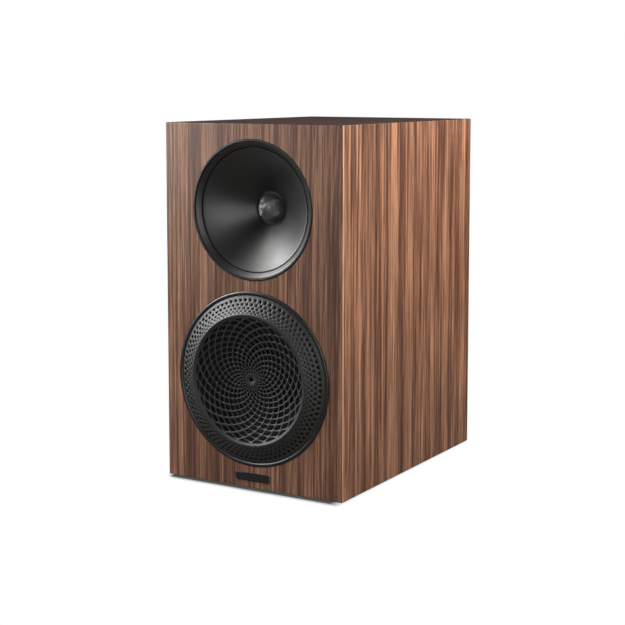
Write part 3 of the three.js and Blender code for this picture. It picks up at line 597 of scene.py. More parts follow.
# What each plain finish is made with: colour, roughness, metallic, grain size and relief in
# millimetres, how much the colour varies, and how far its edges have worn.
FINISHES = {
    "black_board": ((0.012, 0.012, 0.012), 0.55, 0, 0.35, 0.03, 0.25, 0.10),
    "raw_board": ((0.30, 0.20, 0.115), 0.90, 0, 0.60, 0.12, 0.30, 0.05),
    "satin_black": ((0.0028, 0.0029, 0.0028), 0.40, 0, 0.30, 0.006, 0.15, 0.05),
    "badge_black": ((0.006, 0.006, 0.007), 0.16, 0, 0.80, 0.004, 0.10, 0.03),
    "lens_black": ((0.0060, 0.0060, 0.0060), 0.50, 0, 0.22, 0.010, 0.18, 0.06),
    "deep_black": ((0.003, 0.003, 0.003), 0.75, 0, 0.30, 0.004, 0.15, 0.0),
    "guard_mesh": ((0.24, 0.24, 0.24), 0.32, 0.8, 0.20, 0.004, 0.20, 0.20),
    "foot_rubber": ((0.015, 0.015, 0.015), 0.82, 0, 0.25, 0.04, 0.20, 0.05),
    "surround_rubber": ((0.006, 0.006, 0.006), 0.62, 0, 0.30, 0.02, 0.15, 0.03),
    "cone_paper": ((0.006, 0.006, 0.0062), 0.86, 0, 0.90, 0.08, 0.35, 0.05),
    "frame_steel": ((0.017, 0.017, 0.018), 0.45, 0, 0.30, 0.012, 0.20, 0.15),
    "motor_steel": ((0.50, 0.51, 0.50), 0.36, 1, 0.40, 0.01, 0.20, 0.10),
    "ferrite": ((0.028, 0.028, 0.030), 0.72, 0, 0.50, 0.05, 0.30, 0.20),
    "copper_wire": ((0.62, 0.25, 0.085), 0.32, 1, 0.40, 0.01, 0.25, 0.05),
    "screw_steel": ((0.020, 0.020, 0.021), 0.36, 0.4, 0.30, 0.008, 0.20, 0.30),
    "black_moulding": ((0.011, 0.011, 0.0115), 0.52, 0, 0.45, 0.035, 0.18, 0.06),
    "gold_plate": ((0.83, 0.56, 0.20), 0.22, 1, 0.60, 0.004, 0.15, 0.10),
    "red_knob": ((0.34, 0.010, 0.008), 0.24, 0, 0.50, 0.006, 0.12, 0.05),
    "black_knob": ((0.008, 0.008, 0.0085), 0.24, 0, 0.50, 0.006, 0.12, 0.05),
    "terminal_board": ((0.16, 0.085, 0.032), 0.60, 0, 0.50, 0.02, 0.30, 0.10),
    "capacitor_film": ((0.020, 0.062, 0.21), 0.30, 0, 0.60, 0.008, 0.15, 0.03),
    "lead_sleeve": ((0.012, 0.012, 0.012), 0.55, 0, 0.40, 0.01, 0.15, 0.03),
    "lead_sleeve_red": ((0.30, 0.012, 0.010), 0.50, 0, 0.40, 0.01, 0.15, 0.03),
    "capacitor_end": ((0.42, 0.40, 0.34), 0.55, 0, 0.40, 0.02, 0.15, 0.03),
}


def plain_finish(name):
    """A finish with grain, mottling, worn edges and faint dust."""
    colour, roughness, metallic, grain_size, relief, variation, wear = FINISHES[name]
    made, tree, shader = new_material(name, {"Metallic": metallic})
    place = place_of(tree)
    grain = use_group(tree, "fine_grain", {"Place": place, "Size": grain_size * MM})
    rubbed = use_group(tree, "edge_wear", {"Place": place, "Amount": wear})["Wear"]
    dust = use_group(tree, "settled_dust", {"Place": place, "Amount": 0.05})["Dust"]
    darker = (*(value * (1 - variation) for value in colour), 1)
    lighter = (*(min(1, value * (1 + variation)) for value in colour), 1)
    worn = (*(min(1, value * 1.6 + 0.03) for value in colour), 1)
    base = mixed(tree, grain["Mottle"], darker, lighter)
    base = mixed(tree, rubbed, base, worn)
    base = mixed(tree, dust, base, (0.30, 0.29, 0.27, 1))
    tree.links.new(base, shader.inputs["Base Color"])
    shine = calc(tree, "MULTIPLY_ADD", grain["Mottle"], 0.06, roughness - 0.03)
    shine = calc(tree, "MULTIPLY_ADD", dust, 1.5, shine)
    tree.links.new(shine, shader.inputs["Roughness"])
    add_bump(tree, shader, grain["Grain"], relief * MM, 0.6)
    return made


def veneer(name, across, along, colours, edge=None, **figure):
    """A veneered board. Across and along are the numbers of row-frame axes, and edge is the coordinate across
    the board that has a painted highlight beside it: a pale warm line standing for the glint on the rounded
    edge, partly a paler sanded edge."""
    made, tree, shader = new_material(name, {"Specular IOR Level": 0.36})
    place = place_of(tree)
    parts = put(tree, "ShaderNodeSeparateXYZ", {0: place}).outputs
    inward = 3 - across - along
    order = {0: parts[across], 1: parts[inward], 2: parts[along]}
    turned_place = put(tree, "ShaderNodeCombineXYZ", order).outputs[0]
    light, middle, dark = [(*colour, 1) for colour in colours]
    settings = {"Place": turned_place, "Light": light, "Middle": middle, "Dark": dark, **figure}
    wood = use_group(tree, "veneer_figure", settings)
    base = wood["Colour"]
    if edge is not None:
        line = {"Coordinate": parts[across], "Edge": edge, "Width": 3.2 * MM, "Place": turned_place}
        edge_highlight_mask = use_group(tree, "painted_edge_highlight", line)["Mask"]
        # Painted highlight: a pale warm strip along the front edge for the glint on its rounding, partly a
        # paler sanded edge.
        base = mixed(tree, calc(tree, "MULTIPLY", edge_highlight_mask, 0.7), base, (0.62, 0.34, 0.19, 1))
    dust = use_group(tree, "settled_dust", {"Place": place, "Amount": 0.03})["Dust"]
    tree.links.new(mixed(tree, dust, base, (0.30, 0.29, 0.27, 1)), shader.inputs["Base Color"])
    tree.links.new(wood["Roughness"], shader.inputs["Roughness"])
    add_bump(tree, shader, wood["Height"], 0.05 * MM, 0.35)
    return made


def front_veneer():
    light, middle, dark = veneer_colours()
    colours = ([v * 0.80 for v in light], [v * 0.92 for v in middle], [v * 1.45 for v in dark])
    return veneer(
        "walnut_veneer_front", 0, 2, colours, Seed=0.31, Heart=0.155, Cover=0.02, Taper=0.10,
        Ring=bpy.context.scene.veneer.ring, Wander=0.022,
    )


def side_veneer(name, edge, seed):
    ring = bpy.context.scene.veneer.ring
    return veneer(
        name, 1, 2, veneer_colours(), edge=edge, Seed=seed, Heart=-0.62, Cover=0.03, Taper=0.05,
        Ring=ring, Wander=0.016,
    )


def veneer_colours():
    settings = bpy.context.scene.veneer
    return settings.light, settings.middle, settings.dark


def dark_veneer():
    base = bpy.context.scene.veneer.dark_board
    colours = [tuple(value * share for value in base) for share in (1.1, 1.0, 0.86)]
    made = veneer(
        "dark_veneer", 0, 1, colours, Seed=0.77, Heart=-0.5, Cover=0.03, Taper=0.05,
        Ring=bpy.context.scene.veneer.ring, Wander=0.02,
    )
    made.node_tree.nodes["Principled BSDF"].inputs["Specular IOR Level"].default_value = 0.0
    return made


def woven(name, colour, pitch, roughness, relief):
    """A woven cloth with uneven threads and a soft sheen."""
    made, tree, shader = new_material(name, {"Sheen Weight": 0.25, "Sheen Roughness": 0.5})
    place = place_of(tree)
    threads = use_group(tree, "plain_weave", {"Place": place, "Pitch": pitch * MM})
    grain = use_group(tree, "fine_grain", {"Place": place, "Size": 0.15 * MM})
    darker = (*(value * 0.55 for value in colour), 1)
    # Painted shade from the weave's dips, with uneven thread tone.
    base = mixed(tree, threads["Shade"], darker, (*colour, 1))
    tree.links.new(base, shader.inputs["Base Color"])
    shine = calc(tree, "MULTIPLY_ADD", grain["Grain"], 0.08, roughness)
    tree.links.new(shine, shader.inputs["Roughness"])
    add_bump(tree, shader, threads["Thread"], relief * MM, 0.8)
    return made


def wadding_finish():
    """Loose crimped fibre with painted shade: darker in the hollows and paler on its high tufts, from the
    same noise that raises them.
    """
    made, tree, shader = new_material("wadding", {"Sheen Weight": 0.4, "Subsurface Weight": 0.2})
    place = place_of(tree)
    grain = use_group(tree, "fine_grain", {"Place": place, "Size": 1.2 * MM})
    # Painted shade: the same noise drives the colour and the bump, so the hollows are darker.
    base = mixed(tree, grain["Grain"], (0.48, 0.47, 0.43, 1), (0.80, 0.79, 0.75, 1))
    base = mixed(tree, calc(tree, "MULTIPLY", grain["Mottle"], 0.25), base, (0.60, 0.56, 0.47, 1))
    tree.links.new(base, shader.inputs["Base Color"])
    tree.links.new(spread(tree, grain["Mottle"], 0.0, 1.0, 0.88, 0.98), shader.inputs["Roughness"])
    add_bump(tree, shader, grain["Grain"], 0.8 * MM, 0.8)
    return made


SPECIAL = {
    "walnut_veneer": front_veneer,
    "dark_veneer": dark_veneer,
    "dome_cloth": lambda: woven("dome_cloth", (0.020, 0.020, 0.023), 0.5, 0.55, 0.03),
    "spider_cloth": lambda: woven("spider_cloth", (0.42, 0.28, 0.10), 0.9, 0.82, 0.12),
    "wadding": wadding_finish,
}
made_looks = {}


def look(slot):
    """The material of a slot, made the first time it is asked for."""
    if slot not in made_looks:
        made_looks[slot] = SPECIAL[slot]() if slot in SPECIAL else plain_finish(slot)
    return made_looks[slot]


# ---- Cabinet ---------------------------------------------------------------------------------------

def board_corners(low, high):
    return low.x / MM, (low.y - FACE) / MM, low.z / MM, high.x / MM, (high.y - FACE) / MM, high.z / MM


def softened_edge(depth, edge, insets_at_back):
    """Rings of a board from its outer face to its inner one, with sanded outer edges."""
    return [(edge, 0), (edge * 0.3, edge * 0.3), (0, edge), (insets_at_back, depth)]


def well(x, z, radius, floor, through, thickness):
    """A stepped round hole in the baffle: a wide recess to a floor, then a smaller hole."""
    steps = 144
    levels = [(radius + 0.25, 0), (radius, 0.35), (radius, floor), (through, floor), (through, thickness)]
    return [(circle(x, z, size, steps), depth) for size, depth in levels]


# Each driver's opening in the baffle: the hole right through, and the depth of the recess round it.
OPENINGS = {"tweeter_trim_ring": (57.6, 11.9), "woofer_trim_ring": (72.8, 8.5)}
RECESS_CLEARANCE = 0.15
MITRE_LAND = 0.2


def build_baffle():
    x0, _, z0, x1, y1, z1 = board_corners(*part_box("front_baffle"))
    edge = bpy.context.scene.veneer.edge / MM
    mitre = x1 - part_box("right_panel")[0].x / MM
    inset = mitre + MITRE_LAND
    holes = []
    for ring, (through, floor) in OPENINGS.items():
        radius = reach(ring)[0] + RECESS_CLEARANCE
        centre = axis_of(ring) / MM
        holes.append(well(centre.x, centre.z, radius, floor, through, y1))
    shape = slab((x0, z0), (x1, z1), softened_edge(y1, edge, (inset,) * 4), 0.5, holes, 2)
    new_piece("veneered_baffle", upright(shape), "front_baffle", crease=FLAT_CREASE)


def build_side(node, outward, finish):
    """A side board, laid out as (y, z) with its depth running inward."""
    x0, y0, z0, x1, y1, z1 = board_corners(*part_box(node))
    thickness = x1 - x0
    edge = bpy.context.scene.veneer.edge / MM
    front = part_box("front_baffle")[1].y
    insets = ((front - FACE) / MM, 0, thickness, thickness)
    points, faces = slab((y0, z0), (y1, z1), softened_edge(thickness, edge, insets), 0.5, (), 2)
    outside = x1 if outward > 0 else x0
    placed = [(outside - outward * depth, y, z) for y, z, depth in points]
    new_piece("veneered_" + node, (placed, faces), node, finish=finish, crease=FLAT_CREASE)


def build_cap_board(node, outward):
    """The top or bottom board, laid out as (x, y) with its depth running inward."""
    x0, y0, z0, x1, y1, z1 = board_corners(*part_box(node))
    thickness = z1 - z0
    edge = bpy.context.scene.veneer.edge / MM
    insets = (thickness, thickness, (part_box("front_baffle")[1].y - FACE) / MM, 0)
    points, faces = slab((x0, y0), (x1, y1), softened_edge(thickness, edge, insets), 0.5, (), 2)
    outside = z1 if outward > 0 else z0
    placed = [(x, y, outside - outward * depth) for x, y, depth in points]
    new_piece("veneered_" + node, (placed, faces), node, crease=FLAT_CREASE)


def build_rear_board():
    x0, y0, z0, x1, y1, z1 = board_corners(*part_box("rear_panel"))
    port = axis_of("port_tube") / MM
    plate_low, plate_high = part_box("terminal_plate")
    rim = 9.5
    low = (plate_low.x / MM + rim, plate_low.z / MM + rim)
    high = (plate_high.x / MM - rim, plate_high.z / MM - rim)
    opening = rounded_rectangle(low, high, 3)
    round_hole = circle(port.x, port.z, 34.3)
    holes = [[(round_hole, y1), (round_hole, y0)], [(opening, y1), (opening, y0)]]
    rings = [(0.4, y1), (0.1, y1 - 0.1), (0, y1 - 0.4), (0, y0)]
    board = upright(slab((x0, z0), (x1, z1), rings, 0.5, holes, 2))
    new_piece("rear_board", board, "rear_panel", crease=FLAT_CREASE)


def build_brace():
    x0, y0, z0, x1, y1, z1 = board_corners(*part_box("cross_brace"))
    rings = [(0.8, y0), (0, y0 + 0.8), (0, y1 - 0.8), (0.8, y1)]
    window = rounded_rectangle((x0 + 22, z0 + 7), (x1 - 22, z1 - 7), 4.5)
    hole = [(window, y0), (window, y1)]
    brace = upright(slab((x0, z0), (x1, z1), rings, 1.0, [hole]))
    new_piece("glued_brace", brace, "cross_brace", crease=FLAT_CREASE)


def build_feet():
    for end in ("front", "rear"):
        for side in ("left", "right"):
            node = f"foot_{end}_{side}"
            low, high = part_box(node)
            centre = (low + high) / 2
            centre.z = low.z
            radius = (high.x - low.x) / 2 / MM
            height = (high.z - low.z) / MM
            dish = [(0, 0.35), (radius * 0.62, 0.35), (radius * 0.74, 0)]
            outline = [*dish, (radius * 0.93, 0), (radius, height * 0.4), (radius, height), (0, height)]
            points, faces = turned(outline, 64, 0.25)
            standing = [(x, z, y) for x, y, z in points]
            new_piece("rubber_" + node, (standing, faces), node, at=centre)


def build_badge():
    x0, y0, z0, x1, y1, z1 = board_corners(*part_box("badge_plate"))
    rings = [(0.9, y0 + 0.12), (0.62, y0 + 0.1), (0.34, y0), (0.14, y0 + 0.05), (0, y0 + 0.22), (0, y1)]
    badge = upright(slab((x0, z0), (x1, z1), rings, 0.95, (), 8))
    new_piece("blank_badge", badge, "badge_plate", crease=FLAT_CREASE)


# ---- Tweeter -----------------------------------------------------------------------------------------

HORN_BEVEL = 8.2  # trim ring's lip to the horn's mouth
HORN_FLARE = 0.18
THROAT_RADIUS = 16
THROAT_DEPTH = 35
MOUTH_DEPTH = 4.2
HORN_FLANGE = 8


def build_horn_ring():
    radius, front, back = reach("tweeter_trim_ring")
    mouth = radius - HORN_BEVEL
    groove = mouth + 0.95
    rise = HORN_BEVEL * 0.66 - 0.95
    sweep = [(groove + rise * (1 - t), 0.5 + 3.5 * t ** 1.15) for t in (0.0, 0.2, 0.4, 0.6, 0.8, 1.0)]
    outline = [
        (radius, 0.5, 0.1),
        (radius - 0.25, front, 0.2),
        (radius - 1.75, front, 0.25),
        (radius - 1.9, front + 1.2, 0.1),
        (radius - 2.25, front + 1.3, 0.1),
        (radius - 2.4, front + 0.7, 0.2),
        *sweep,
        (groove, MOUTH_DEPTH + 0.6, 0.1),
        (groove, back, 0),
        (radius, back, 0),
    ]
    new_turned("horn_ring", outline, "tweeter_trim_ring", steps=240)


def build_horn():
    radius, _, back = reach("tweeter_waveguide")
    ring_radius = reach("tweeter_trim_ring")[0]
    mouth = ring_radius - HORN_BEVEL
    flange = HORN_FLANGE
    boss = reach("tweeter_front_plate")[0] - 2
    surface = []
    for i in range(33):
        t = i / 32
        depth = (1 - HORN_FLARE) * t + HORN_FLARE * t * t
        narrowing = mouth + (THROAT_RADIUS - mouth) * t
        surface.append((narrowing, MOUTH_DEPTH + (THROAT_DEPTH - MOUTH_DEPTH) * depth))
    behind = [(r + 1.0, y + 2.5, 0) for r, y in surface if r < mouth - 3 and r > boss and y > flange + 3]
    pocket = THROAT_RADIUS + 3.7
    outline = [
        (radius, flange, 0.2),
        (mouth + 0.1, flange, 0),
        (mouth + 0.1, MOUTH_DEPTH, 0.15),
        *surface[1:],
        (pocket, THROAT_DEPTH, 0),
        (pocket, back, 0),
        (boss, back),
        *behind[::-1],
        (mouth - 2, flange + 3.6),
        (radius, flange + 3.6),
    ]
    new_turned("horn_waveguide", outline, "tweeter_waveguide", steps=240)


def build_mesh_guard():
    """Two crossed layers of fine wire over a dome, clamped in a flat ring."""
    flange_radius, front, back = reach("tweeter_mesh_guard")
    base_radius = 13.4
    base_y = back - 0.6
    height = base_y - front + 2.6
    sphere = (base_radius ** 2 + height ** 2) / (2 * height)
    centre = base_y - height + sphere
    pitch, wire = 0.95, 0.17
    half = math.sqrt(0.5)
    parts = []
    count = int(base_radius / pitch)
    for family in (0, 1):
        for i in range(-count, count + 1):
            offset = i * pitch
            reach_along = math.sqrt(max(0.0, (base_radius - 0.1) ** 2 - offset ** 2))
            steps = max(4, int(reach_along / 0.24))
            path = []
            for k in range(-steps, steps + 1):
                along = reach_along * k / steps
                radius = math.hypot(along, offset)
                over = math.cos(math.pi * (along / pitch + i + family)) * wire * 0.75
                y = centre - math.sqrt(sphere ** 2 - radius ** 2)
                a, b = (along, offset) if family else (offset, along)
                place = Vector(((a - b) * half, y, (a + b) * half))
                outward = (place - Vector((0, centre, 0))).normalized()
                path.append(place + outward * (over - wire))
            parts.append(swept(path, wire, 5))
    wires = joined(*parts)
    new_piece("guard_wires", wires, "tweeter_mesh_guard", at=axis_of("tweeter_mesh_guard"), crease=60)
    rim = [
        (base_radius - 0.5, base_y - 0.5),
        (base_radius + 0.4, base_y - 0.3),
        (flange_radius, base_y),
        (flange_radius, back),
        (base_radius - 0.3, back),
    ]
    new_turned(
        "guard_ring", rim, "tweeter_mesh_guard", stands_for=False, steps=96, fillet=0.2,
        finish=look("deep_black"),
    )


def build_dome():
    radius, front, back = reach("tweeter_dome")
    skin = 0.35
    dome = cap_outline(radius, back, back - front, skin, 20)
    new_turned("cloth_dome", dome, "tweeter_dome", steps=96, fillet=0)
    outer, _, flat = reach("tweeter_surround")
    glue = 2  # flat rim outside the roll
    seam = 0.6  # dome's edge to the roll
    roll = (outer - glue - radius - seam) / 2
    centre = radius + seam + roll
    outline = [
        (radius - 0.4, flat - skin),
        *arc(centre, flat - skin, roll, 180, 360, 16),
        (outer, flat - skin),
        (outer, flat),
        *arc(centre, flat, roll - 0.1, 360, 180, 16),
        (radius - 0.4, flat),
    ]
    surround = new_turned(
        "dome_surround", outline, "tweeter_surround", steps=96, fillet=0.05, body="blend",
    )
    bend_round(surround)
    wound_coil("dome_coil", "tweeter_voice_coil", 12.5, 0.24)


def bend_round(piece):
    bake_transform(piece)


def wound_coil(name, node, inside, wire, former_front=None):
    """A coil whose outside shows its turns of wire; its former may start further forward."""
    outside, front, back = reach(node)
    former = min(0.4, (outside - inside) / 2)
    winding_front = front if former_front is None else former_front
    turns = int((back - winding_front) / wire)
    pitch = (back - winding_front) / turns
    ridges = []
    for i in range(turns):
        middle = winding_front + pitch * (i + 0.5)
        ridges += arc(outside - pitch / 2, middle, pitch / 2, -75, 75, 3)
    start = [(inside, front), (inside + former, front)]
    if former_front is not None:
        start.append((inside + former, winding_front))
    outline = [*start, *ridges, (inside + former, back), (inside, back)]
    new_turned(name, outline, node, steps=72, fillet=0)


def plain_ring(name, node, inside, fillet=0.6, steps=96):
    outside, front, back = reach(node)
    outline = [(inside, front), (outside, front), (outside, back), (inside, back)]
    new_turned(name, outline, node, fillet=fillet, steps=steps)


def build_yoke(name, node, pole, vent, plate_thickness):
    outside, front, back = reach(node)
    floor = back - plate_thickness
    outline = [
        (vent, front, 0.6),
        (pole, front, 0.8),
        (pole, floor, 0.3),
        (outside, floor, 0.8),
        (outside, back, 1.2),
        (vent + 4, back, 0.5),
        (vent, back - 1.5, 0.5),
    ]
    new_turned(name, outline, node)


def build_tweeter_motor():
    plain_ring("dome_front_plate", "tweeter_front_plate", 13.9, 0.5)
    plain_ring("dome_magnet", "tweeter_magnet", 16.9, 0.9)
    build_yoke("dome_yoke", "tweeter_yoke", 12.0, 3, 4)
    outside, front, back = reach("tweeter_rear_chamber")
    outline = [
        (outside, front),
        (outside, back - 3, 2.5),
        (outside - 3, back, 1.5),
        (9, back, 0.5),
        (7.5, back - 0.8, 0.5),
        (0, back - 0.8),
        (0, back - 2.6),
        (outside - 4, back - 2),
        (outside - 2, back - 4),
        (outside - 2, front),
    ]
    new_turned("dome_back_chamber", outline, "tweeter_rear_chamber")


# ---- Woofer ------------------------------------------------------------------------------------------

def build_bezel():
    radius, front, back = reach("woofer_trim_ring")
    inner = radius - 3.6
    outline = [
        (radius, 0.3, 0.1),
        (radius, front * 0.35, 0.5),
        (radius - 0.9, front, 0.9),
        (inner + 1.1, front, 0.8),
        (inner, front * 0.2, 0.3),
        (inner, 1.7, 0.1),
        (inner - 2.5, 1.7),
        (inner - 2.5, 3.3),
        (radius - 1.7, 3.3),
        (radius - 1.7, back),
        (radius, back),
    ]
    new_turned("woofer_bezel", outline, "woofer_trim_ring", steps=240)


def lens_depth(radius, edge, ridge, proud, centre_proud):
    """Depth of the lens's front surface: a shallow dish, a ridge, and a slope out to its edge."""
    dish_edge = ridge - 2.4
    dish = -centre_proud - (proud - 1.2 - centre_proud) * (radius / dish_edge) ** 2
    if radius <= dish_edge:
        return dish
    if radius <= ridge:
        t = (radius - dish_edge) / (ridge - dish_edge)
        start = -proud + 1.2
        return start + (-proud - start) * math.sin(t * math.pi / 2)
    slope_start = ridge + 1.1
    if radius <= slope_start:
        return -proud + 0.45 * ((radius - ridge) / 1.1) ** 2
    slope_end = edge - 1.2
    if radius <= slope_end:
        t = (radius - slope_start) / (slope_end - slope_start)
        return -proud + 0.45 + (proud - 1.05) * t
    return -0.6 + 0.6 * ((radius - slope_end) / 1.2) ** 1.5


def rounded_loop(corners, cut=0.30, steps=2):
    """A closed loop of corners with each corner rounded."""
    loop = []
    for i, corner in enumerate(corners):
        before = corners[i - 1]
        after = corners[(i + 1) % len(corners)]
        start = corner.lerp(before, cut)
        end = corner.lerp(after, cut)
        for step in range(steps + 1):
            t = step / steps
            loop.append(start.lerp(corner, t).lerp(corner.lerp(end, t), t))
    return loop


def lens_openings(edge, ridge):
    """Every opening of the lens as a loop of (x, z) points: the centre hole, a spiral of diamonds in the
    dish, and staggered round holes beyond the ridge."""
    settings = bpy.context.scene.lens
    first, step = 7.75, 3.5  # the first row's radius, and the distance between rows
    spacing = TURN / settings.spokes
    shift = math.radians(6.47)  # how far each row turns on from the one before
    hub, dish = 6.2, ridge - 3.2
    loops = [[Vector(point) for point in circle(0, 0, 2.3, 28)]]
    for row in range(settings.rows):
        radius = first + step * row
        share = row / (settings.rows - 1)
        rib = (settings.hub_rib * (1 - share) + settings.edge_rib * share) / MM
        half = radius * spacing / 2
        scale = 1 - rib * math.hypot(step, half) / (2 * step * half)
        skew = (spacing / 2 - shift) * scale
        for i in range(settings.spokes):
            turn = math.radians(-2.14) + spacing * i + shift * row
            corners = [
                Vector((radius + step * scale, turn - skew)),
                Vector((radius, turn + spacing / 2 * scale)),
                Vector((radius - step * scale, turn + skew)),
                Vector((radius, turn - spacing / 2 * scale)),
            ]
            loop = []
            for size, angle in rounded_loop(corners):
                size = min(max(size, hub), dish)
                loop.append(Vector((size * math.sin(angle), size * math.cos(angle))))
            loops.append(unrepeated(loop))
    for row, (inset, size) in enumerate(((4.1, 2.8), (8.1, 2.4), (11.5, 1.9), (14.1, 1.5), (15.8, 1.1))):
        radius = edge - inset
        for i in range(settings.rim_holes):
            angle = TURN * (i + row / 2) / settings.rim_holes
            x, z = radius * math.sin(angle), radius * math.cos(angle)
            loops.append([Vector(point) for point in circle(x, z, size / 2, 12)])
    return loops


def unrepeated(loop):
    """The loop without points that fall on the one before."""
    return [point for i, point in enumerate(loop) if (point - loop[i - 1]).length > 0.05]


def grown(loop, distance):
    """A small convex loop pushed outward from its middle by about a distance."""
    middle = sum(loop, Vector((0, 0))) / len(loop)
    size = sum((point - middle).length for point in loop) / len(loop)
    return [middle + (point - middle) * (1 + distance / size) for point in loop]


def build_lens():
    """A thin pressed sheet with every opening cut through it and its edges eased."""
    node = "woofer_lens"
    edge = reach(node)[0]
    bezel = reach("woofer_trim_ring")[0]
    ridge = bezel - 21.7
    sheet = 1.4
    ease = 0.16

    def depth_at(point):
        return lens_depth(point.length, edge, ridge, -reach_front, 1.4)

    reach_front = reach(node)[1]
    openings = lens_openings(edge, ridge)
    eased = [grown(loop, ease) for loop in openings]
    rim = [Vector(point) for point in circle(0, 0, edge, 288)]
    sizes = [5.9, ridge - 2.4, ridge - 1.6, ridge - 0.8, ridge, ridge + 0.55, ridge + 1.1, edge - 1.2]
    guides = [circle(0, 0, size, 64 if size < 10 else 288) for size in sizes]
    flat, triangles = filled([rim, *eased], guides)
    points = [Vector((p.x, depth_at(p), p.y)) for p in flat]
    count = len(points)
    points += [point + Vector((0, sheet, 0)) for point in points]
    faces = triangles + [[i + count for i in reversed(face)] for face in triangles]
    front = list(range(len(rim)))
    faces += band(front, [i + count for i in front])
    first = len(rim)
    for loop in openings:
        front = list(range(first, first + len(loop)))
        first += len(loop)
        walls = [front]
        for inward in (ease, sheet - ease):
            walls.append(list(range(len(points), len(points) + len(loop))))
            points += [Vector((p.x, depth_at(p) + inward, p.y)) for p in loop]
        walls.append([i + count for i in front])
        for one, other in zip(walls, walls[1:]):
            faces += band(one, other)
    new_piece("perforated_lens", (points, faces), node, at=axis_of(node), crease=50)


def build_basket():
    """A pressed frame: one sheet turned round the axis with six windows left open, then thickened."""
    node = "woofer_basket"
    outside, front, back = reach(node)
    inside = outside - 12.5
    shelf = front + 32.2
    profile = [
        (outside - 0.2, front + 0.3),
        (inside + 1.5, front + 0.3),
        (inside - 0.5, front + 1.0),
        (inside - 2, front + 3.6),
        (66.8, front + 10),
        (59.6, front + 18),
        (53.4, front + 25.4),
        (48, shelf - 0.6),
        (46.2, shelf + 0.3),
        (39.6, shelf + 0.3),
        (38.0, shelf + 1.4),
        (36.0, front + 37.4),
        (34.4, back - 2.0),
        (32, back - 1.9),
        (18, back - 1.9),
    ]
    steps = 180
    points, faces = [], []
    for radius, y in profile:
        for i in range(steps):
            angle = TURN * i / steps
            points.append((radius * math.sin(angle), y, radius * math.cos(angle)))
    open_rows = range(4, 7)
    for row in range(len(profile) - 1):
        for i in range(steps):
            from_window = abs((i + 0.5) * 360 / steps % 60 - 30)
            if row in open_rows and from_window < 17:
                continue
            j = (i + 1) % steps
            faces.append([row * steps + i, row * steps + j, (row + 1) * steps + j, (row + 1) * steps + i])
    piece = new_piece("pressed_basket", (points, faces), node, at=axis_of(node), crease=40)
    thick = piece.modifiers.new("sheet", "SOLIDIFY")
    thick.thickness = 1.6 * MM
    thick.offset = 0
    soft = piece.modifiers.new("pressed edges", "BEVEL")
    soft.width = 0.35 * MM
    soft.segments = 2
    soft.limit_method = "ANGLE"
    low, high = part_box("woofer_terminal_strip")
    shape = slab(
        (low.x / MM, low.z / MM), (high.x / MM, high.z / MM),
        [(0.2, (low.y - FACE) / MM), (0, (low.y - FACE) / MM + 0.2), (0, (high.y - FACE) / MM)], 1.5,
    )
    new_piece("lead_strip", upright(shape), "woofer_terminal_strip", crease=FLAT_CREASE)


def build_cone():
    cone_radius, front, back = reach("woofer_cone")
    depth = back - front
    neck = 13.8
    shoulder = cone_radius - 4
    skin = 0.9

    def wall(shift):
        rows = []
        for i in range(25):
            t = i / 24
            fall = (depth - 1.1) * (0.85 * t + 0.15 * t * t)
            rows.append((shoulder + (neck - shoulder) * t, front + shift + fall))
        return rows

    outline = [(cone_radius, front), *wall(0.1), *wall(skin)[::-1], (cone_radius, front + skin)]
    new_turned("paper_cone", outline, "woofer_cone", fillet=0.15, steps=180)
    cap_radius, cap_front, cap_back = reach("woofer_dust_cap")
    cap = cap_outline(cap_radius, cap_back, cap_back - cap_front, skin, 18)
    new_turned("domed_dust_cap", cap, "woofer_dust_cap", fillet=0, steps=120)
    winding_front = reach("woofer_front_plate")[1] - 2
    wound_coil("woofer_coil", "woofer_voice_coil", 13.1, 0.42, winding_front)


def build_woofer_surround():
    node = "woofer_surround"
    outside, _, back = reach(node)
    glue = 4
    roll = 4.5
    skin = 0.7
    centre = outside - glue - roll
    flat = back - skin
    outline = [
        (centre - roll - glue, flat),
        *arc(centre, flat, roll, 180, 360, 20),
        (outside, flat),
        (outside, back),
        *arc(centre, back, roll - 0.3, 360, 180, 20),
        (centre - roll - glue, back),
    ]
    piece = new_turned("rubber_surround", outline, node, fillet=0.2, steps=180, body="blend")
    bend_round(piece)


def build_spider():
    """Corrugated cloth from the coil out to its shelf."""
    node = "woofer_spider"
    outside, _, back = reach(node)
    first = 13.8
    flat = outside - 5
    rings = 4
    plane = back - 0.7
    wave = []
    for i in range(65):
        t = i / 64
        ripple = 0.7 * (1 - math.cos(TURN * rings * t))
        wave.append((first + (flat - first) * t, plane - ripple, 0))
    upper = [*wave, (outside, plane)]
    lower = [(radius, y + 0.45, 0) for radius, y, *_ in upper][::-1]
    piece = new_turned("corrugated_spider", [*upper, *lower], node, fillet=0, steps=120, body="blend")
    bend_round(piece)


def build_woofer_motor():
    plain_ring("motor_front_plate", "woofer_front_plate", 14.5, 0.7)
    plain_ring("motor_magnet", "woofer_magnet", 19.5, 1.4)
    build_yoke("motor_yoke", "woofer_yoke", 12.5, 4, 5)


# ---- Rear ----------------------------------------------------------------------------------------------

def build_port():
    node = "port_tube"
    _, front, back = reach(node)
    bore, wall, flare, flange = 25, 2.5, 9, 7
    bend = bore + flare
    bend_y = back - flare
    outline = [
        (bore + wall, front + 1.6, 1.0),
        (bore + wall * 0.5, front, 0.6),
        (bore, front + 1.6, 1.0),
        *arc(bend, bend_y, flare, 180, 90, 18),
        (bend + flange - 2.4, back, 0.3),
        (bend + flange, back - 0.9, 0.6),
        (bend + flange, back - 2),
        (bend, back - 2),
        *arc(bend, bend_y, flare - wall, 90, 180, 12),
    ]
    new_turned("flared_port", outline, node, steps=180)


def hexagon(size):
    """A turned piece's shape where radii under a size become a hexagonal recess."""
    def shape(radius, y, angle):
        if radius >= size:
            return radius
        within = (angle + math.pi / 6) % (math.pi / 3) - math.pi / 6
        return radius / math.cos(within) * 0.96
    return shape


